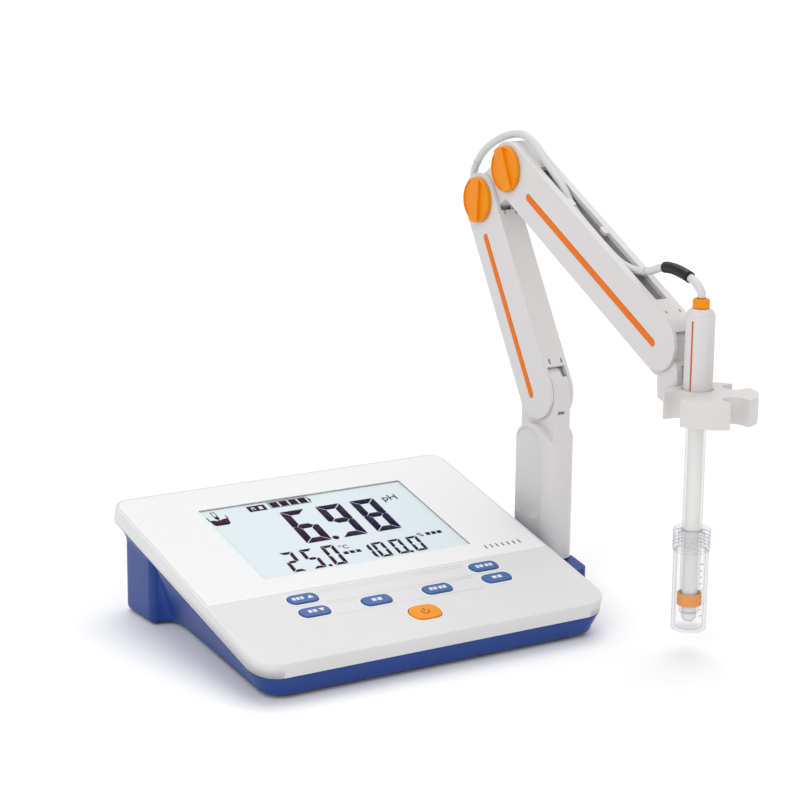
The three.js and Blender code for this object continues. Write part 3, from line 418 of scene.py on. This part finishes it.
# From the electrode over both arms and down the column, then round behind the case to its plug
LEAD_ROUTE = in_arm_plane([
    (-143, 214.6), (-143, 217.2), (-138.8, 221.6), (-133, 224.4), (-125, 226.4),
    (-117, 227.5), (-110, 227.4), (-103, 225.8), (-96.3, 223.4), (-89.6, 221.8), (-83, 221), (-76.5, 221.2),
    (-68, 222.6), (-58, 226.3), (-46, 232.2), (-32, 239.7), (-20, 246.8), (-12.5, 252.6),
    (-7, 258.6), (-1.9, 263.5), (5.2, 268.6), (11.6, 273.2), (17, 277.5), (22, 281.6), (28.2, 285.7),
    (34.7, 288.6), (41.6, 290.1), (49, 289.8), (61.3, 287), (74.5, 281.6), (85.4, 274.8), (92.6, 267.4),
    (96.5, 261), (97.3, 252.5), (95.2, 243), (90.5, 233.8), (84, 224.6), (76, 214.6),
    (67, 204), (58.1, 192.4), (48.6, 177.4), (39.8, 161.8), (34, 149.6), (29.6, 139.6),
    (26.8, 132.6), (25.7, 125), (25.6, 108), (25.6, 84), (25.6, 60), (25.8, 45), (27.6, 37), (32, 31),
]) + [
    (145, 38, 27.8), (144.5, 44.5, 23.3), (143, 52, 16), (139.5, 64, 7.5), (134, 80, 3.4), (125, 99, 2.6),
    (112, 119, 2.6), (101, 137, 3.4), (91, 149, 7), (85.5, 154.5, 13.5), (84, 153, 20),
    (84, 147, 23.6), (84, 140, 24), (84, 134.9, 24),
]
LEAD_RADIUS = 2.5
SLEEVE_RADIUS = 3.4


def route_point(place):
    """The lead's centreline at a place along the route: a centripetal curve through its points."""
    last = len(LEAD_ROUTE) - 1
    i = min(int(place), last - 1)
    t = place - i
    p1, p2 = Vector(LEAD_ROUTE[i]), Vector(LEAD_ROUTE[i + 1])
    p0 = Vector(LEAD_ROUTE[i - 1]) if i > 0 else 2 * p1 - p2
    p3 = Vector(LEAD_ROUTE[i + 2]) if i + 2 <= last else 2 * p2 - p1
    k0, k1, k2 = ((b - a).length ** 0.5 for a, b in ((p0, p1), (p1, p2), (p2, p3)))
    leave = ((p1 - p0) / k0 - (p2 - p0) / (k0 + k1) + (p2 - p1) / k1) * k1
    arrive = ((p2 - p1) / k1 - (p3 - p1) / (k1 + k2) + (p3 - p2) / k2) * k1
    return (p1 * (2 * t ** 3 - 3 * t ** 2 + 1) + leave * (t ** 3 - 2 * t ** 2 + t)
            + p2 * (3 * t ** 2 - 2 * t ** 3) + arrive * (t ** 3 - t ** 2))


def stretch_points(first, last, per_place=4):
    count = max(2, round((last - first) * per_place))
    return [route_point(first + (last - first) * i / count) for i in range(count + 1)]


def tube(name, points, radius, material, sides=20):
    """A round tube along the points, with closed ends."""
    turns = [2 * PI * k / sides for k in range(sides)]
    rings = []
    side = None
    for i, point in enumerate(points):
        ahead = (points[min(i + 1, len(points) - 1)] - points[max(i - 1, 0)]).normalized()
        side = ahead.orthogonal() if side is None else side - ahead * side.dot(ahead)
        side.normalize()
        other = ahead.cross(side)
        rings.append([point + radius * (math.cos(turn) * side + math.sin(turn) * other) for turn in turns])
    verts, faces = rings_mesh(rings)
    return weigh_normals(mesh_piece(name, verts, faces, material))


def lead_stretch(name, first, last, replaced=()):
    """The lead between two places of its route, hiding the CAD parts it replaces."""
    points = stretch_points(first, last)
    obj = tube(name, points, LEAD_RADIUS, LEAD)
    if replaced:
        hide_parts(*replaced)
    return obj


def build_lead():
    """Overlapping stretches: some ride on one body, the rest are not attached to any body."""
    def point(place):
        return METER @ route_point(place)

    loop = lead_stretch("lead_from_electrode", 0, 8.8, ["lead_wrist"])
    point(6.4)
    point(8.6)
    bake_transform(loop)
    loop = lead_stretch("lead_to_upper_arm", 8.6, 13.6)
    point(8.8)
    point(11)
    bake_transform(loop)
    sleeve = tube("lead_black_sleeve", stretch_points(3.1, 6.2), SLEEVE_RADIUS, SLEEVE)
    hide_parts("lead_sleeve")
    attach(sleeve, "electrode")
    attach(lead_stretch("lead_on_upper_arm", 13.5, 17.1, ["lead_upper"]), "upper_arm")
    loop = lead_stretch("lead_over_elbow", 17, 31.15, ["lead_elbow"])
    point(18)
    point(30)
    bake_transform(loop)
    loop = lead_stretch("lead_behind_elbow", 30.9, 37.1)
    point(31.5)
    point(36.5)
    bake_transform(loop)
    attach(lead_stretch("lead_on_lower_arm", 37, 43.1, ["lead_lower"]), "lower_arm")
    shoulder = lead_stretch("lead_down_column", 43, 51.1, ["lead_column"])
    point(43)
    point(47)
    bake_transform(shoulder)
    tail = lead_stretch("lead_tail_to_plug", 51, 65, ["lead_tail"])
    point(51)
    point(56)
    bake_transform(tail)


build_lead()


# ---- display ----------------------------------------------------------------------

INK_LOW = -1.2
INK_HIGH = -1.05
SEGMENTS = {
    "0": "abcdef", "1": "bc", "2": "abged", "5": "afgcd", "6": "afgedc", "8": "abcdefg", "9": "abfgcd",
}


def segment_loops(width, height, thick, gap):
    """The seven strokes of a digit, with mitred ends, from its lower left corner."""
    middle = height / 2
    t, g, h = thick, gap, thick / 2
    return {
        "a": [(g, height), (width - g, height), (width - g - t, height - t), (g + t, height - t)],
        "d": [(g, 0), (g + t, t), (width - g - t, t), (width - g, 0)],
        "b": [(width, height - g), (width, middle + g), (width - h, middle + g - h * 0.2),
              (width - t, middle + g + h), (width - t, height - g - t)],
        "f": [(0, height - g), (t, height - g - t), (t, middle + g + h), (h, middle + g - h * 0.2),
              (0, middle + g)],
        "c": [(width, g), (width - t, g + t), (width - t, middle - g - h), (width - h, middle - g + h * 0.2),
              (width, middle - g)],
        "e": [(0, g), (0, middle - g), (h, middle - g + h * 0.2), (t, middle - g - h), (t, g + t)],
        "g": [(g + h, middle), (g + h + h, middle + h), (width - g - 2 * h, middle + h),
              (width - g - h, middle), (width - g - 2 * h, middle - h), (g + 2 * h, middle - h)],
    }


def counterclockwise(loop):
    area = sum(a[0] * b[1] - b[0] * a[1] for a, b in zip(loop, loop[1:] + loop[:1]))
    return loop if area > 0 else loop[::-1]


def thin_marks(name, loops, low, high, material, body="base", slot=None):
    """Flat marks on the deck, each a thin raised shape, in one mesh."""
    verts, faces = merged(plate_mesh(counterclockwise(loop), [], low, high, 0) for loop in loops)
    return mesh_piece(name, verts, faces, material, DECK, body=body, slot=slot)


def digit_row(figures, lefts, base, width, height, thick, gap, lean):
    """Leaning digits at their left edges along a base line."""
    strokes = segment_loops(width, height, thick, gap)
    return [[(left + x + lean * y, base + y) for x, y in strokes[key]]
            for figure, left in zip(figures, lefts) for key in SEGMENTS[figure]]


def unit_sign(name, words, x, s, size):
    """A small unit sign beside a figure, as a raised mesh."""
    curve = bpy.data.curves.new(name + "_curve", "FONT")
    curve.body = words
    curve.size = size
    curve.extrude = (INK_HIGH - INK_LOW) / 2
    curve.resolution_u = 4
    source = bpy.data.objects.new(name + "_curve", curve)
    bpy.context.scene.collection.objects.link(source)
    graph = bpy.context.evaluated_depsgraph_get()
    mesh = bpy.data.meshes.new_from_object(source.evaluated_get(graph))
    bpy.data.objects.remove(source)
    mesh.transform(DECK @ Matrix.Translation((x, s, (INK_LOW + INK_HIGH) / 2)))
    mesh.materials.clear()
    mesh.materials.append(INK)
    obj = bpy.data.objects.new(name, mesh)
    bpy.context.scene.collection.objects.link(obj)
    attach(obj, "base")


def dot(x, s, radius, steps=12):
    return arc(x, s, radius, 0, 2 * PI, steps)[:-1]


def figure_loops():
    """The large reading and the two small ones below it, with their decimal points."""
    loops = digit_row("698", (-25.6, 0.2, 25.2), 18.6, 17.6, 40.8, 5.4, 0.5, 0.045)
    loops += digit_row("250", (-50.6, -36.8, -21.8), -10.8, 9, 23.3, 2.5, 0.45, 0.06)
    loops += digit_row("1000", (1.2, 11.3, 23.8, 36.5), -10.8, 8.2, 17.6, 2.1, 0.4, 0.06)
    return loops + [dot(-4.6, 20, 2.2, 16), dot(-25, -9.8, 1.3), dot(33.2, -10, 1.2)]


def beaker_loops():
    """A half-full beaker with a probe in it."""
    liquid = [(-71.2, 62.4), (-68.4, 62), (-65.6, 60.5), (-62.6, 62.2), (-58.6, 62.6), (-59.4, 56.6),
              (-61.2, 55.2), (-69.4, 55.2), (-70.8, 56.6)]
    walls = [rectangle(-71.6, -71, 62, 66), rectangle(-58.8, -58.2, 62, 66.6)]
    lip = rectangle(-73, -71.6, 65.5, 66.1)
    tip = [rectangle(-66.4, -63.8, 63.2, 66.4), rectangle(-65.6, -64.6, 60.5, 64)]
    stem = [rectangle(-66.6, -66.2, 66.4, 72), rectangle(-64, -63.6, 66.4, 72),
            rectangle(-66.6, -63.6, 71.6, 72)]
    return [liquid, *walls, lip, *tip, *stem]


def gauge_loops():
    """Four blocks in a thin frame with a stub at its right end."""
    blocks = [rectangle(-24.4 + 6.8 * i, -19 + 6.8 * i, 66.8, 72.8) for i in range(4)]
    long_edges = [rectangle(-25.6, 3.2, low, low + 0.3) for low in (66, 73.3)]
    ends = [rectangle(-25.6, -25.2, 66, 73.6), rectangle(2.9, 3.3, 66, 73.6)]
    stub = rectangle(3.3, 4.2, 68.4, 71)
    return [*blocks, *long_edges, *ends, stub]


def indicator_loops():
    """A dark sign with two light windows in it."""
    posts = [rectangle(*sides, 65.4, 72.2) for sides in ((-41, -38.6), (-36, -33.4), (-30.6, -28.6))]
    beams = [rectangle(*sides, low, low + 1.4)
             for sides in ((-38.6, -36), (-33.4, -30.6)) for low in (65.4, 70.8)]
    bar = rectangle(-37.8, -36.8, 66.8, 69.4)
    return [*posts, *beams, bar]


def small_blocks():
    """Plain blocks beside the two small readings."""
    lower = [rectangle(-9.6 + 4.4 * i, -6.4 + 4.4 * i, -0.6, 2.4) for i in range(3)]
    upper = [rectangle(53.4 + 4.2 * i, 56.4 + 4.2 * i, 5.2, 8.4) for i in range(3)]
    return lower + upper


def build_display():
    loops = figure_loops() + beaker_loops() + gauge_loops() + indicator_loops() + small_blocks()
    thin_marks("lcd_figures", loops, INK_LOW, INK_HIGH, INK, slot="lcd")
    unit_sign("lcd_unit_ph", "pH", 49.8, 53.6, 9.5)
    unit_sign("lcd_unit_degrees", "°C", -9.2, 5.8, 6)
    unit_sign("lcd_unit_percent", "%", 47.2, 5, 6)


build_display()


# ---- keys ---------------------------------------------------------------------------

KEY_SIZE = (9.9, 4.8)  # half length and half width
POWER_SIZE = (10.3, 7.4)
KEY_TOP = 1.3
KEY_BOTTOM = -3.8
MARK_LOW = KEY_TOP - 0.05
MARK_HIGH = KEY_TOP + 0.06
MARK_HALF = 1.5  # half height of a mark's blocks
# Each key's blocks, as left and right ends from its middle
KEY_BLOCKS = {
    "key_upper_left": [(-7.2, -5), (-4.4, -2.4), (-1.8, 0.4)],
    "key_lower_left": [(-4.4, -1.9), (-1.2, 1.3)],
    "key_middle_left": [(-3.4, -0.4), (0.4, 3.4)],
    "key_middle_right": [(-5.8, -3.5), (-2.9, -0.6), (0.8, 3.1), (3.7, 6)],
    "key_upper_right": [(-5.8, -3.5), (-2.9, -0.6), (0.8, 3.1), (3.7, 6)],
    "key_lower_right": [(-3.4, -0.4), (0.4, 3.4)],
}
# Two keys also have a triangle: how far up the key its base and its point are
KEY_TRIANGLES = {"key_upper_left": (-1.5, 2), "key_lower_left": (1.7, -1.8)}


def key_place(node):
    """The key's middle on the deck, from its own CAD solid."""
    low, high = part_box(node)
    local = DECK.inverted() @ ((low + high) / 2)
    return local.x, local.y


def key_cap(node, size, material, slot):
    """A key's cap in place of its CAD solid, and the pale rim round its hole."""
    x, s = key_place(node)
    loop = shifted(key_loop(*size, steps=12), x, s)
    cap = plate(node + "_cap", loop, [], KEY_BOTTOM, KEY_TOP, material, DECK, top=0.7, body=node, slot=slot)
    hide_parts(node)
    rim = shifted(key_loop(*size, 1.5, steps=12), x, s)
    hole = shifted(key_loop(*size, 0.35, steps=12), x, s)
    plate(node + "_rim", rim, [hole], -0.4, 0.35, PRINT, DECK, top=0.3, body="base", slot="panel_white")
    return x, s


def key_mark(node, loops, material, slot):
    thin_marks(node + "_mark", loops, MARK_LOW, MARK_HIGH, material, body=node, slot=slot)


def build_keys():
    for node, blocks in KEY_BLOCKS.items():
        x, s = key_cap(node, KEY_SIZE, KEY_BLUE, "key_blue")
        loops = [rectangle(x + left, x + right, s - MARK_HALF, s + MARK_HALF) for left, right in blocks]
        if node in KEY_TRIANGLES:
            base, point = KEY_TRIANGLES[node]
            loops.append([(x + 2.6, s + base), (x + 6.8, s + base), (x + 4.7, s + point)])
        key_mark(node, loops, PRINT, "panel_white")
    x, s = key_cap("key_power", POWER_SIZE, KEY_ORANGE, "power_orange")
    outer = arc(0, 0, 2.7, -1.12 * PI, 0.12 * PI, 24)
    inner = arc(0, 0, 2.1, 0.12 * PI, -1.12 * PI, 24)
    stroke = rectangle(x - 0.35, x + 0.35, s + 0.2, s + 3.3)
    key_mark("key_power", [shifted(outer + inner, x, s), stroke], PRINT_DARK, "orange")


build_keys()


# ---- housing --------------------------------------------------------------------------

COVER_SIDE = 9.3
PANEL_FRONT = -32.4
PANEL_EDGE = 2  # width of the cover's rim round the panel
PANEL_GAP = 0.12
WINDOW_S = 30  # middle of the display, up the slope from the deck's middle
LCD_TOP = -1.2


def window_loop(half_width, half_depth):
    return rounded(half_width, WINDOW_S - half_depth, WINDOW_S + half_depth, 0.6)


def panel_loop(gap, rear_radius):
    half_width = HALF_WIDTH - PANEL_EDGE - gap
    return rounded(half_width, PANEL_FRONT + gap, SLOPE / 2 - PANEL_EDGE - gap, 1, rear_radius, 16)


WINDOW_OPENING = window_loop(73.3, 44.8)


def build_cover():
    """The cover with its key holes, its recess for the panel, and the recess's floor."""
    outline = rounded(HALF_WIDTH, -SLOPE / 2, SLOPE / 2, FRONT_RADIUS, REAR_RADIUS, 20)
    holes = [panel_loop(0, 9)]
    holes += [shifted(key_loop(*KEY_SIZE, 0.5), *key_place(node)) for node in KEY_BLOCKS]
    holes.append(shifted(key_loop(*POWER_SIZE, 0.5), *key_place("key_power")))
    cover = plate("cover_shell", outline, holes, -COVER_SIDE, 0, COVER, DECK, top=1.3, rims=0.2,
                  body="base", slot="cover_grey")
    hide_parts("top_cover")
    cover.data.materials.append(KEYPAD)
    up = DECK.to_3x3().col[2].normalized()
    for face in cover.data.polygons:
        if face.normal.dot(up) > 0.999:
            face.material_index = 1
    floor = rounded(118.4, -34, SLOPE / 2 - 3, 6, 8)
    plate("cover_floor", floor, [WINDOW_OPENING], -3, LCD_TOP, COVER, DECK, top=0,
          body="base", slot="cover_grey")
    # Fine lines across the keypad
    lines = [rectangle(-50, 52, s, s + 0.35) for s in (-36.2, -38.6, -49.4, -51.6, -64.4)]
    thin_marks("keypad_lines", lines, -0.05, 0.06, COVER, slot="cover_grey")


def build_panel():
    """The glossy panel with its window, the display's face below it, and a generic row of bars."""
    outline = panel_loop(PANEL_GAP, 8.9)
    panel = plate("display_fascia", outline, [WINDOW_OPENING], -0.9, 0.05, PANEL, DECK, top=0.25, rims=0.15,
                  body="base", slot="panel_white")
    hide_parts("display_panel")
    plate("lcd_face", window_loop(73.25, 44.75), [], -1.5, LCD_TOP, LCD, DECK, top=0, body="base", slot="lcd")
    bars = [rectangle(80 + 4.2 * i, 80.9 + 4.2 * i, -23.4, -19.4) for i in range(7)]
    thin_marks("fascia_mark", bars, 0.02, 0.1, PRINT_DARK, slot="panel_white")


HULL_LOW = 2.0
HULL_EDGE = 4.0  # radius of the hull's lower edge
EDGE_STEPS = 5
HULL_SLANT = 0.43  # inward run of its sides for each millimetre of drop
HULL_FRONT_PULL = 0.987  # how far in its foot stays, in front and behind
HULL_REAR_PULL = 0.98
RIM_DROP = 9.6
FLARE_START = 0.76  # how far up its upright walls the rear block begins to widen to the rim
BLOCK_DROP = 1.2  # how much lower the rear block reaches than the hull
BLOCK_SIDE = 114.9
BLOCK_REAR = 96.9
BLOCK_RADIUS = 10
COVE_RADIUS = 7.0  # the hollow corner where the rear block leaves the hull


def rim_point(x, s):
    """A point under the cover's edge, below the deck outline's (x, s)."""
    return Vector((x, s * math.cos(TILT) + RIM_DROP * math.sin(TILT),
                   DECK_Z + s * math.sin(TILT) - RIM_DROP * math.cos(TILT)))


def case_half():
    """Rows from the front's middle, down the right side, to the back's middle.

    Each is (foot x, foot y, rim point, how far it belongs to the rear block).
    """
    half = SLOPE / 2
    rows = []

    def hull(x, s):
        rim = rim_point(x, s)
        narrow = 1 - HULL_SLANT * (rim.z - HULL_LOW) / HALF_WIDTH
        pull = HULL_FRONT_PULL if rim.y < 0 else HULL_REAR_PULL
        rows.append((x * narrow, rim.y * pull, rim, 0.0))

    for x in (0, 30, 60, 85, 98):
        hull(x, -half)
    for x, s in arc(HALF_WIDTH - FRONT_RADIUS, FRONT_RADIUS - half, FRONT_RADIUS, -PI / 2, 0, 12):
        hull(x, s)
    for s in (-70, -52, -34, -16, 0, 14, 26):
        hull(HALF_WIDTH, s)
    # Round the cove, then out round the block's front corner
    foot_x = rows[-1][0] - 0.8
    cove_x = foot_x + COVE_RADIUS
    corner = BLOCK_SIDE - cove_x
    bends = [(foot_x, 36), (foot_x, 42)]
    bends += arc(cove_x, 47, COVE_RADIUS, PI, PI / 2, 7)
    bends += arc(cove_x, 54 + corner, corner, -PI / 2, 0, 7)
    for i, (x, y) in enumerate(bends):
        share = i / (len(bends) - 1)
        rows.append((x, y, rim_point(HALF_WIDTH, 33 + 31 * share), min(1.0, 1.6 * share)))
    for y, s in ((70, 74), (80, 84)):
        rows.append((BLOCK_SIDE, y, rim_point(HALF_WIDTH, s), 1.0))
    # Round the rear corner and along the back
    feet = arc(BLOCK_SIDE - BLOCK_RADIUS, BLOCK_REAR - BLOCK_RADIUS, BLOCK_RADIUS, 0, PI / 2, 8)
    rims = arc(HALF_WIDTH - REAR_RADIUS, half - REAR_RADIUS, REAR_RADIUS, 0, PI / 2, 8)
    rows += [(*foot, rim_point(*rim), 1.0) for foot, rim in zip(feet, rims)]
    rows += [(x, BLOCK_REAR, rim_point(x * 1.04, half), 1.0) for x in (80, 50, 20, 0)]
    return rows


def build_case():
    """The bottom case: a slanted hull in front, an upright block at the rear, flaring to the cover's rim."""
    right = case_half()
    left = [(-x, y, Vector((-rim.x, rim.y, rim.z)), share) for x, y, rim, share in right[-2:0:-1]]
    rows = right + left

    def outline(rise):
        loop = []
        for x, y, rim, share in rows:
            late = max(0.0, (rise - FLARE_START) / (1 - FLARE_START)) ** 1.8
            move = rise + (late - rise) * share
            loop.append((x + (rim.x - x) * move, y + (rim.y - y) * move))
        return loop

    rings = []
    for k in range(EDGE_STEPS + 1):
        turn = k * PI / 2 / EDGE_STEPS
        loop = moved_loop(outline(0.0), -HULL_EDGE * (1 - math.sin(turn)))
        rings.append([(x, y, HULL_LOW - BLOCK_DROP * share + HULL_EDGE * (1 - math.cos(turn)))
                      for (x, y), (_, _, _, share) in zip(loop, rows)])
    foot = rings[-1]
    for rise in (0.15, 0.3, 0.45, 0.6, 0.7, 0.76, 0.8, 0.84, 0.88, 0.92, 0.96, 1.0):
        rings.append([(x, y, low + (rim.z - low) * rise)
                      for (x, y), (_, _, rim, _), (_, _, low) in zip(outline(rise), rows, foot)])
    verts, faces = rings_mesh(rings)
    case = weigh_normals(mesh_piece("case_shell", verts, faces, BLUE, body="base", slot="case_blue"))
    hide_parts("bottom_case")


build_cover()
build_panel()
build_case()


# ---- electrode and storage vial ---------------------------------------------------------

ELECTRODE_AXIS = Matrix.Translation(at(ARM_X, ELECTRODE_Y, 0)) @ SCALE
SHAFT_RADIUS = 6
AXIS = 0.01  # the closed middle of a turned piece
CAP_RADIUS = 11.1
VIAL_RADIUS = 10.5


def build_handle_stripe():
    """A thin coloured line let into the electrode handle's side."""
    low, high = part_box("electrode_handle")
    reach = (high.x - low.x) / 2 / MM - 0.25
    towards = math.radians(-160)
    x = ARM_X + reach * math.cos(towards)
    y = ELECTRODE_Y + reach * math.sin(towards)
    foot, length, steps = 148, 54, 24
    points = [Vector((x, y, foot + length * k / steps)) for k in range(steps + 1)]
    stripe = tube("handle_stripe", points, 0.62, THIN_STRIPE, sides=12)
    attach(stripe, "electrode")


def build_shaft():
    """The electrode's clear outer tube and its white core."""
    outside = [(AXIS, 24), (5.7, 24), (SHAFT_RADIUS, 24.4), (SHAFT_RADIUS, 149), (AXIS, 149)]
    shell = turned("tube_shell", outside, TUBE, ELECTRODE_AXIS, body="electrode", slot="clear_plastic")
    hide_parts("electrode_tube")
    inside = [(AXIS, 24.6), (4, 24.6), (4.6, 25.4), (4.6, 148.6), (AXIS, 148.6)]
    turned("tube_core", inside, CORE, ELECTRODE_AXIS, body="electrode", slot="panel_white")


def build_vial_cap():
    """The vial's clear cap."""
    outside = [(10.9, 62.6), (CAP_RADIUS, 62.9), (CAP_RADIUS, 73.8), (11.25, 74), (11.25, 75.1), (10.9, 75.8),
               (10.25, 76.1)]
    inside = [(6.3, 76.1), (6.3, 72.6), (8.2, 72.5), (8.2, 62.6)]
    cap = turned_ring("vial_cap_ribbed", outside + inside, CLEAR, ELECTRODE_AXIS,
                      body="vial_cap", slot="clear_plastic")
    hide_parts("vial_cap")


def build_vial_body():
    outside = [(9.2, 13.6), (10.2, 13.9), (VIAL_RADIUS, 14.6), (VIAL_RADIUS, 62.3)]
    inside = [(8.9, 62.3), (8.9, 16), (8.4, 15.2), (AXIS, 15.2), (AXIS, 13.6)]
    vial = turned_ring("vial_shell", outside + inside, CLEAR, ELECTRODE_AXIS,
                       body="vial_body", slot="clear_plastic")
    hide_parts("vial_body")


def build_threads():
    """The rings of the cap's thread."""
    for k in range(5):
        low = 64 + 2.05 * k
        section = [(11.22, low), (11.3, low + 0.3), (11.3, low + 0.7), (11.22, low + 1), (10.9, low + 0.5)]
        turned_ring(f"vial_thread_{k}", section, THREAD, ELECTRODE_AXIS,
                    body="vial_cap", slot="clear_plastic")


def build_graduations():
    """Short marks up the vial's side, every fourth one longer."""
    start = math.radians(-95)
    outer_radius = VIAL_RADIUS + 0.06
    inner_radius = outer_radius * 0.992
    solids = []
    for k in range(9):
        end = start + (0.2 if k % 4 == 0 else 0.12)
        loop = arc(0, 0, outer_radius, start, end, 4) + arc(0, 0, inner_radius, end, start, 4)
        low = 24 + 4 * k
        solids.append(plate_mesh(loop, [], low, low + 0.5, 0))
    verts, faces = merged(solids)
    mesh_piece("vial_graduations", verts, faces, GRADUATION, ELECTRODE_AXIS, body="vial_body", slot="orange")


build_handle_stripe()
build_shaft()
build_vial_cap()
build_vial_body()
build_threads()
build_graduations()


# ---- CAD pieces that keep their shape ---------------------------------------------------

WELD_DISTANCE = 0.01 * MM
FACET_ANGLE = math.radians(0.6)  # facets flatter than this are one face
EDGE_ANGLE = math.radians(32)  # edges sharper than this are rounded


def soften(node, material, width):
    """Merge a CAD solid's flat facets, round its edges over and give it its finish."""
    obj = NODES[node]
    obj.data.materials.clear()
    obj.data.materials.append(material)
    for face in obj.data.polygons:
        face.use_smooth = True
    weld = obj.modifiers.new("weld", "WELD")
    weld.merge_threshold = WELD_DISTANCE
    flat = obj.modifiers.new("flat", "DECIMATE")
    flat.decimate_type = "DISSOLVE"
    flat.angle_limit = FACET_ANGLE
    if width:
        edge = obj.modifiers.new("edge", "BEVEL")
        edge.width = width * MM
        edge.segments = 3
        edge.limit_method = "ANGLE"
        edge.angle_limit = EDGE_ANGLE
        edge.use_clamp_overlap = True
    obj.modifiers.new("normals", "WEIGHTED_NORMAL").keep_sharp = True


# Each finish, and how far the edges of the pieces that have it are rounded
KEPT = [
    (WINDOW, {"display_window": 0.15}),
    (LCD, {"lcd_panel": 0}),
    (PANEL, {"lcd_backlight": 0}),
    (BOARD, {"main_board": 0, "key_board": 0}),
    (RUBBER, {"key_mat": 0.2, "foot_front_left": 0.3, "foot_front_right": 0.3, "foot_rear_left": 0.1,
              "foot_rear_right": 0.1, "seat_foot": 0.3}),
    (STEEL, {"case_screw_left": 0.2, "case_screw_right": 0.2, "seat_screw": 0.2, "ph_socket": 0.25,
             "data_port": 0.3, "lead_plug": 0.3, "shoulder_pin": 0.2, "lower_rod": 0.4, "upper_rod": 0.4,
             "wrist_pin": 0.2}),
    (BLACK, {"temperature_socket": 0.25, "power_socket": 0.25}),
    (BLUE, {"arm_seat": 1.0}),
    (ARM, {"column": 1.0, "lower_arm": 0.9, "upper_arm": 0.9, "elbow_link": 0.6, "nut_lower": 0.5,
           "nut_upper": 0.5, "wrist_bracket": 0.8, "electrode_holder": 0.9, "electrode_handle": 0.5}),
    (STRIPE, {"lower_arm_stripe": 0.15, "upper_arm_stripe": 0.15}),
    (ORANGE, {"knob_lower": 0.5, "knob_upper": 0.5, "electrode_collar": 0.3}),
    (BULB, {"electrode_bulb": 0.3}),
    (RING, {"tip_ring": 0.3}),
]
for finish, pieces in KEPT:
    for node, rounding in pieces.items():
        soften(node, finish, rounding)


# ---- studio -----------------------------------------------------------------------------

FLOOR_HALF = 30
AMBIENT = 0.72


def build_studio():
    material = moulded("studio_floor", (0.94, 0.94, 0.94, 1), 0.7, bump=0.0, mottle=0.004)
    mesh = bpy.data.meshes.new("studio_floor")
    corners = rectangle(-FLOOR_HALF, FLOOR_HALF, -FLOOR_HALF, FLOOR_HALF)
    mesh.from_pydata([(x, y, 0) for x, y in corners], [], [(0, 1, 2, 3)])
    mesh.materials.append(material)
    floor = bpy.data.objects.new("studio_floor", mesh)
    bpy.context.scene.collection.objects.link(floor)
    world = bpy.data.worlds.new("studio")
    world.use_nodes = True
    world.node_tree.nodes["Background"].inputs["Color"].default_value = (1, 1, 1, 1)
    world.node_tree.nodes["Background"].inputs["Strength"].default_value = AMBIENT
    bpy.context.scene.world = world

    def light(name, energy, angle, direction):
        data = bpy.data.lights.new(name, "SUN")
        data.energy = energy
        data.angle = math.radians(angle)
        lamp = bpy.data.objects.new(name, data)
        lamp.rotation_euler = Vector(direction).to_track_quat("Z", "Y").to_euler()
        bpy.context.scene.collection.objects.link(lamp)

    light("key_light", 1.05, 45, (0.25, 0.35, 1))
    light("side_light", 0.8, 50, (-0.8, -0.5, 0.7))


build_studio()
bpy.context.scene.view_settings.view_transform = "Standard"
